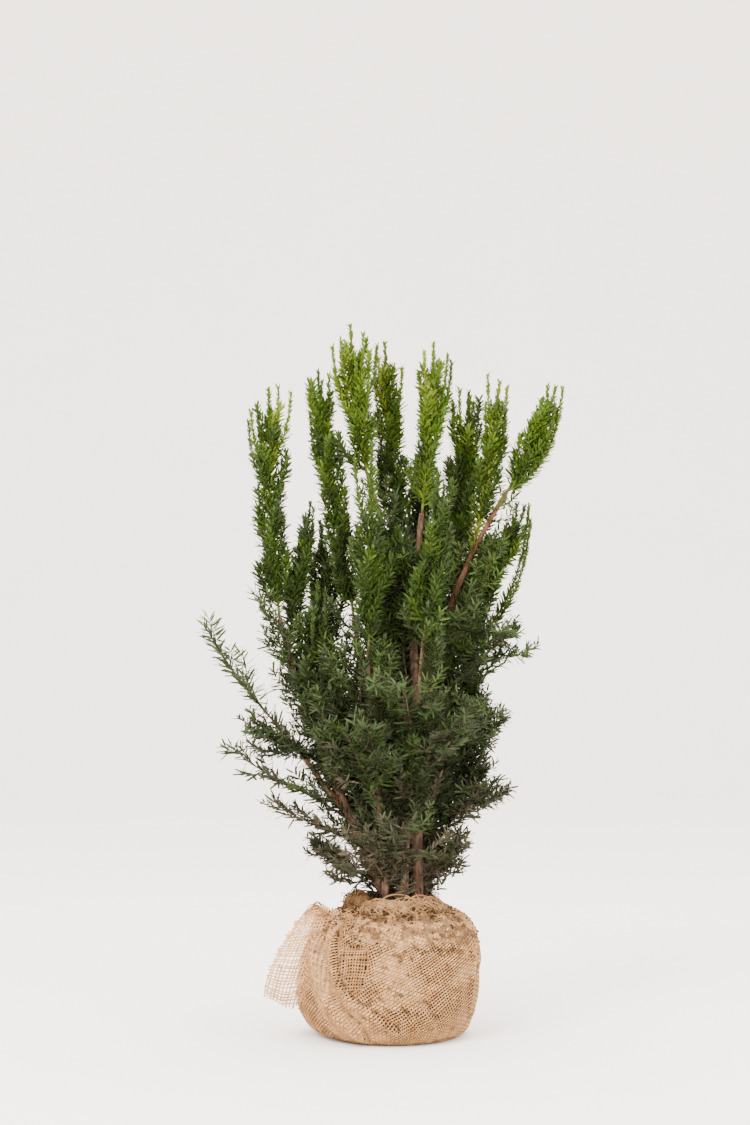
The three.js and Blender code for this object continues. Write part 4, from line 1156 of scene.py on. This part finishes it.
def add_earth(skin):
    """The earth behind the weave and the clay smeared over it; tells the material of each face."""
    rows, columns = EARTH_GRID
    angle, s = np.meshgrid(2 * np.pi * np.arange(columns) / columns,
                           np.linspace(0, PROFILE_LENGTH, rows))
    layered = under_patch(angle, s)
    cover = np.clip(smear(angle, s) * 4 - 1.3 * layered, 0, 1)
    grain = ball_noise(angle, s, 150, 2.4, 61) * 0.35
    offset = -SKIN_DEPTH + cover * (SKIN_DEPTH + 0.9) + grain * (0.4 + 1.6 * cover)
    offset = offset - 1.6 * layered
    points = ball_surface(angle, s, offset)
    a, b, c, d = band_corners(rows, columns)
    walls = np.stack([a, b, c, a, c, d], axis=-1).reshape(-1, 3)
    bottom = np.array([[rows * columns, *pair] for pair in zip(b[0], a[0])])
    top = np.array([[rows * columns + 1, *pair] for pair in zip(d[-1], c[-1])])
    middles = np.array([points[0].mean(axis=0), points[-1].mean(axis=0)])
    skin.add(np.vstack([points.reshape(-1, 3), middles]), np.vstack([walls, bottom, top]))
    # full clay takes the darker clay where soil stains it and in painted shade beside the folds and
    # along the underside; thin clay is darker all over
    clay = np.where(stain_and_shade(angle, s) > -0.1, 2, 1)
    kind = np.where(cover > 0.75, clay, np.where(cover > 0.3, 2, 0))
    return np.concatenate([kind[:-1].ravel().repeat(2), np.zeros(2 * columns, int)])


def add_crumbs(skin):
    """Crumbs of soil on the shoulder and in the neck, as small uneven eight-sided lumps."""
    dice = np.random.default_rng(111)
    angle = dice.uniform(0, 2 * np.pi, CRUMBS)
    place = RIM_PLACE - np.abs(dice.normal(0, 32, CRUMBS)) - 6
    centres = ball_surface(angle, place, 1.0)
    size = dice.gamma(2.2, 0.42, CRUMBS) + 0.5
    corners = np.array([[1, 0, 0], [0, 1, 0], [-1, 0, 0], [0, -1, 0], [0, 0, 0.8], [0, 0, -0.8]])
    turn = dice.uniform(0, 2 * np.pi, CRUMBS)
    points = corners[None] * size[:, None, None] * dice.uniform(0.6, 1.3, (CRUMBS, 6, 3))
    x = points[..., 0] * np.cos(turn)[:, None] - points[..., 1] * np.sin(turn)[:, None]
    y = points[..., 0] * np.sin(turn)[:, None] + points[..., 1] * np.cos(turn)[:, None]
    points = np.stack([x, y, points[..., 2]], axis=-1) + centres[:, None]
    faces = np.array([[k, (k + 1) % 4, 4] for k in range(4)]
                     + [[(k + 1) % 4, k, 5] for k in range(4)])
    skin.add(points, faces[None] + 6 * np.arange(CRUMBS)[:, None, None])


def add_soil_top(skin):
    """The crumbly top of the soil inside the neck."""
    rows, columns = SOIL_GRID
    angle, share = np.meshgrid(2 * np.pi * np.arange(columns) / columns, np.linspace(0.02, 1, rows))
    x, y = (SOIL_RADIUS * share * turned(angle) for turned in (np.cos, np.sin))
    rough = smooth_noise(x / 5, y / 5, 71) * 1.6 + smooth_noise(x / 1.8, y / 1.8, 72) * 0.9
    z = SOIL_HEIGHT + 0.5 + rough
    a, b, c, d = band_corners(rows, columns)
    faces = np.stack([a, d, c, a, c, b], axis=-1)
    skin.add(np.stack([x, y, z], axis=-1), faces)


def add_strand(skin, points, width):
    """A loose thread through the given points."""
    points = np.asarray(points, float)
    t = np.linspace(0, len(points) - 1, max(8, 4 * len(points)))
    centres = spline(points, t)
    forward = unit(np.gradient(centres, axis=0))
    level = unit(np.cross(forward, UP + 0.01))
    upper = np.cross(forward, level)
    taper = width / 2 * (1 - 0.5 * np.abs(2 * t / t[-1] - 1) ** 3)
    add_tubes(skin, rings_round(centres, level, upper, taper, 4)[None])


LOOPS = [  # the large loops of thread on the rim: where, how far round, how high
    (4.2, 1.1, 13), (4.5, 1.0, 9), (4.9, 0.9, 11), (5.3, 0.7, 8), (3.9, 0.8, 7), (0.9, 1.0, 10),
    (2.2, 0.9, 9),
]


def add_frays(skin):
    """Loose threads that loop and stand up along the rim."""
    dice = np.random.default_rng(81)
    for _ in range(RIM_THREADS):
        angle = dice.uniform(0, 2 * np.pi)
        sweep = dice.choice((-1, 1)) * dice.uniform(0.3, 1.2)
        rise = dice.gamma(1.6, 1.1)
        start = ball_surface(angle, RIM_PLACE - dice.uniform(0, 26), 1.4)
        middle = ball_surface(angle + sweep / 2, RIM_PLACE - dice.uniform(-2, 9), 1.8) + UP * rise
        end = ball_surface(angle + sweep, RIM_PLACE - dice.uniform(-4, 24), 1.6)
        if dice.uniform() < 0.12:
            end = middle + UP * dice.uniform(2, 9) + dice.normal(0, 6, 3)
        add_strand(skin, [start, middle, end], dice.uniform(0.8, 1.5))
    for angle, sweep, rise in LOOPS:
        start = ball_surface(angle, RIM_PLACE - 4, 1.0)
        end = ball_surface(angle + sweep, RIM_PLACE - 6, 1.0)
        middle = (start + end) / 2 + UP * rise
        early, late = ((foot + middle) / 2 + UP * rise * 0.28 for foot in (start, end))
        add_strand(skin, [start, early, middle, late, end], 1.9)


def flap_point(out, down):
    """A place on the loose tongue of cloth: from the ball outwards, and from its top down."""
    inner = np.stack([-74 - 30 * down, -34 + 0 * down, 153 - 104 * down], axis=-1)
    belly = FLAP_BULGE * np.sin(1.45 * down)
    outer = np.stack([-118 - belly, -30 - 16 * down, 152 - 92 * down], axis=-1)
    point = inner + (outer - inner) * out[..., None]
    ripple = 2.2 * np.sin(9 * down + 3 * out)
    middle = np.sin(np.pi * np.clip(out, 0, 1))
    point[..., 1] += -FLAP_DISH * middle + 4 * np.sin(5 * down) + ripple
    point[..., 2] += FLAP_ARCH * middle * (1 - 2 * down)
    return point


def add_flap(skin):
    """An open net of threads, frayed at its free edges; tells which faces are loose threads."""
    dice = np.random.default_rng(91)
    steps = 60
    for family, count in enumerate(FLAP_GRID):
        other = FLAP_GRID[1 - family]
        thread = (np.arange(count)[:, None] + dice.normal(0, 0.13, (count, 1))) / (count - 1)
        low = -0.03 - dice.uniform(0, 0.04, (count, 1))
        high = 1.0 + dice.uniform(0, 0.07, (count, 1))
        run = low + (high - low) * np.linspace(0, 1, steps)[None]
        slant = 0.10 * (run - 0.5)
        wander = 0.012 * smooth_noise(run * 6, thread * 9, 92 + family)
        lane = thread + slant + wander
        out, down = (lane, run) if family == 0 else (run, lane)
        centres = flap_point(out, down)
        aside = flap_point(out + 0.01, down) - centres
        below = flap_point(out, down + 0.01) - centres
        normal = unit(np.cross(aside, below))
        crossing = run * (other - 1) + np.arange(count)[:, None]
        wave = OVER_UNDER[family] * 0.45 * np.cos(np.pi * crossing)
        centres = centres + normal * wave[..., None]
        half = across_threads(centres, normal, dice.uniform(1.6, 2.6, (count, 1)))
        add_tubes(skin, np.stack([centres + half, centres + normal * 0.5, centres - half,
                                  centres - normal * 0.3], axis=2))
    net = skin.triangles()
    for _ in range(FLAP_THREADS):
        place = dice.uniform(0, 1)
        start = flap_point(np.array(0.75 + 0.2 * dice.uniform()), np.array(0.0))
        end = flap_point(np.array(-0.05 + 0.4 * place), np.array(0.02))
        lift = UP * dice.uniform(3, 9)
        add_strand(skin, [start, (start + end) / 2 + lift + dice.normal(0, 3, 3), end], 1.3)
    return np.arange(skin.triangles()) >= net


def add_roll(skin):
    """The rolled, matted end of cloth at the left of the neck, wound round with threads."""
    dice = np.random.default_rng(101)
    path = hermite(*np.array(ROLL_COURSE, float))
    t = np.linspace(0, 1, 40)
    _, level, upper = cross_axes(path, t)
    around, up = np.meshgrid(np.arange(20) / 20, t)
    swell = (4.0 + 6.2 * np.sin(np.pi * t**1.5))[:, None]
    lumps = 1 + 0.22 * smooth_noise(around * 5, up * 9, 102, 5)
    add_tubes(skin, rings_round(path(t), level, upper, swell * lumps, 20)[None])
    for _ in range(ROLL_THREADS):
        place, spin = dice.uniform(0.02, 0.98), dice.uniform(0, 2 * math.pi)
        steps = np.linspace(0, 1, 5)
        spans = np.clip(place + dice.normal(0, 0.22) * steps, 0, 1)
        spins = spin + dice.normal(0, 1.6) * steps
        centres = path(spans)
        _, side, above = cross_axes(path, spans)
        loop = dice.gamma(1.5, 1.6) * np.sin(np.pi * steps)
        radius = 4.2 + 6.3 * np.sin(np.pi * spans**1.5) + loop
        ring = side * np.cos(spins)[:, None] + above * np.sin(spins)[:, None]
        add_strand(skin, centres + ring * radius[:, None], dice.uniform(0.7, 1.3))


def add_ball_piece(name, fill, looks, nodes=(), smooth=False):
    """A piece of the ball; where fill returns marks, they choose each face's material."""
    skin = Skin()
    marks = fill(skin)
    make_piece(name, skin, [surfaces[look] for look in looks], nodes, smooth, marks)


def add_soil(skin):
    add_soil_top(skin)
    add_crumbs(skin)


add_ball_piece("earth", add_earth, ["soil_crumbly", "clay_smear", "clay_stain_and_shade"], smooth=True)
threads = (Skin(), Skin())
for name, skin, look, nodes, marks in zip(
        ("weave_steep", "weave_shallow"), threads, ("jute", "jute_light"), (["burlap_wrap"], ()),
        add_weave(threads)):
    # the second material takes the dark faces: soil stains and painted shade
    make_piece(name, skin, [surfaces[look], surfaces["jute_brown"]], nodes,
               face_materials=marks)
add_ball_piece("weave_layers", add_patches, ["jute", "jute_brown"])
add_ball_piece("soil", add_soil, ["soil_crumbly"], ["soil_core"])
add_ball_piece("frayed_rim", add_frays, ["jute_light"])
add_ball_piece("flap", add_flap, ["jute_pale", "jute"], nodes=["burlap_flap"])
add_ball_piece("roll", add_roll, ["jute_brown"], nodes=["burlap_roll"])
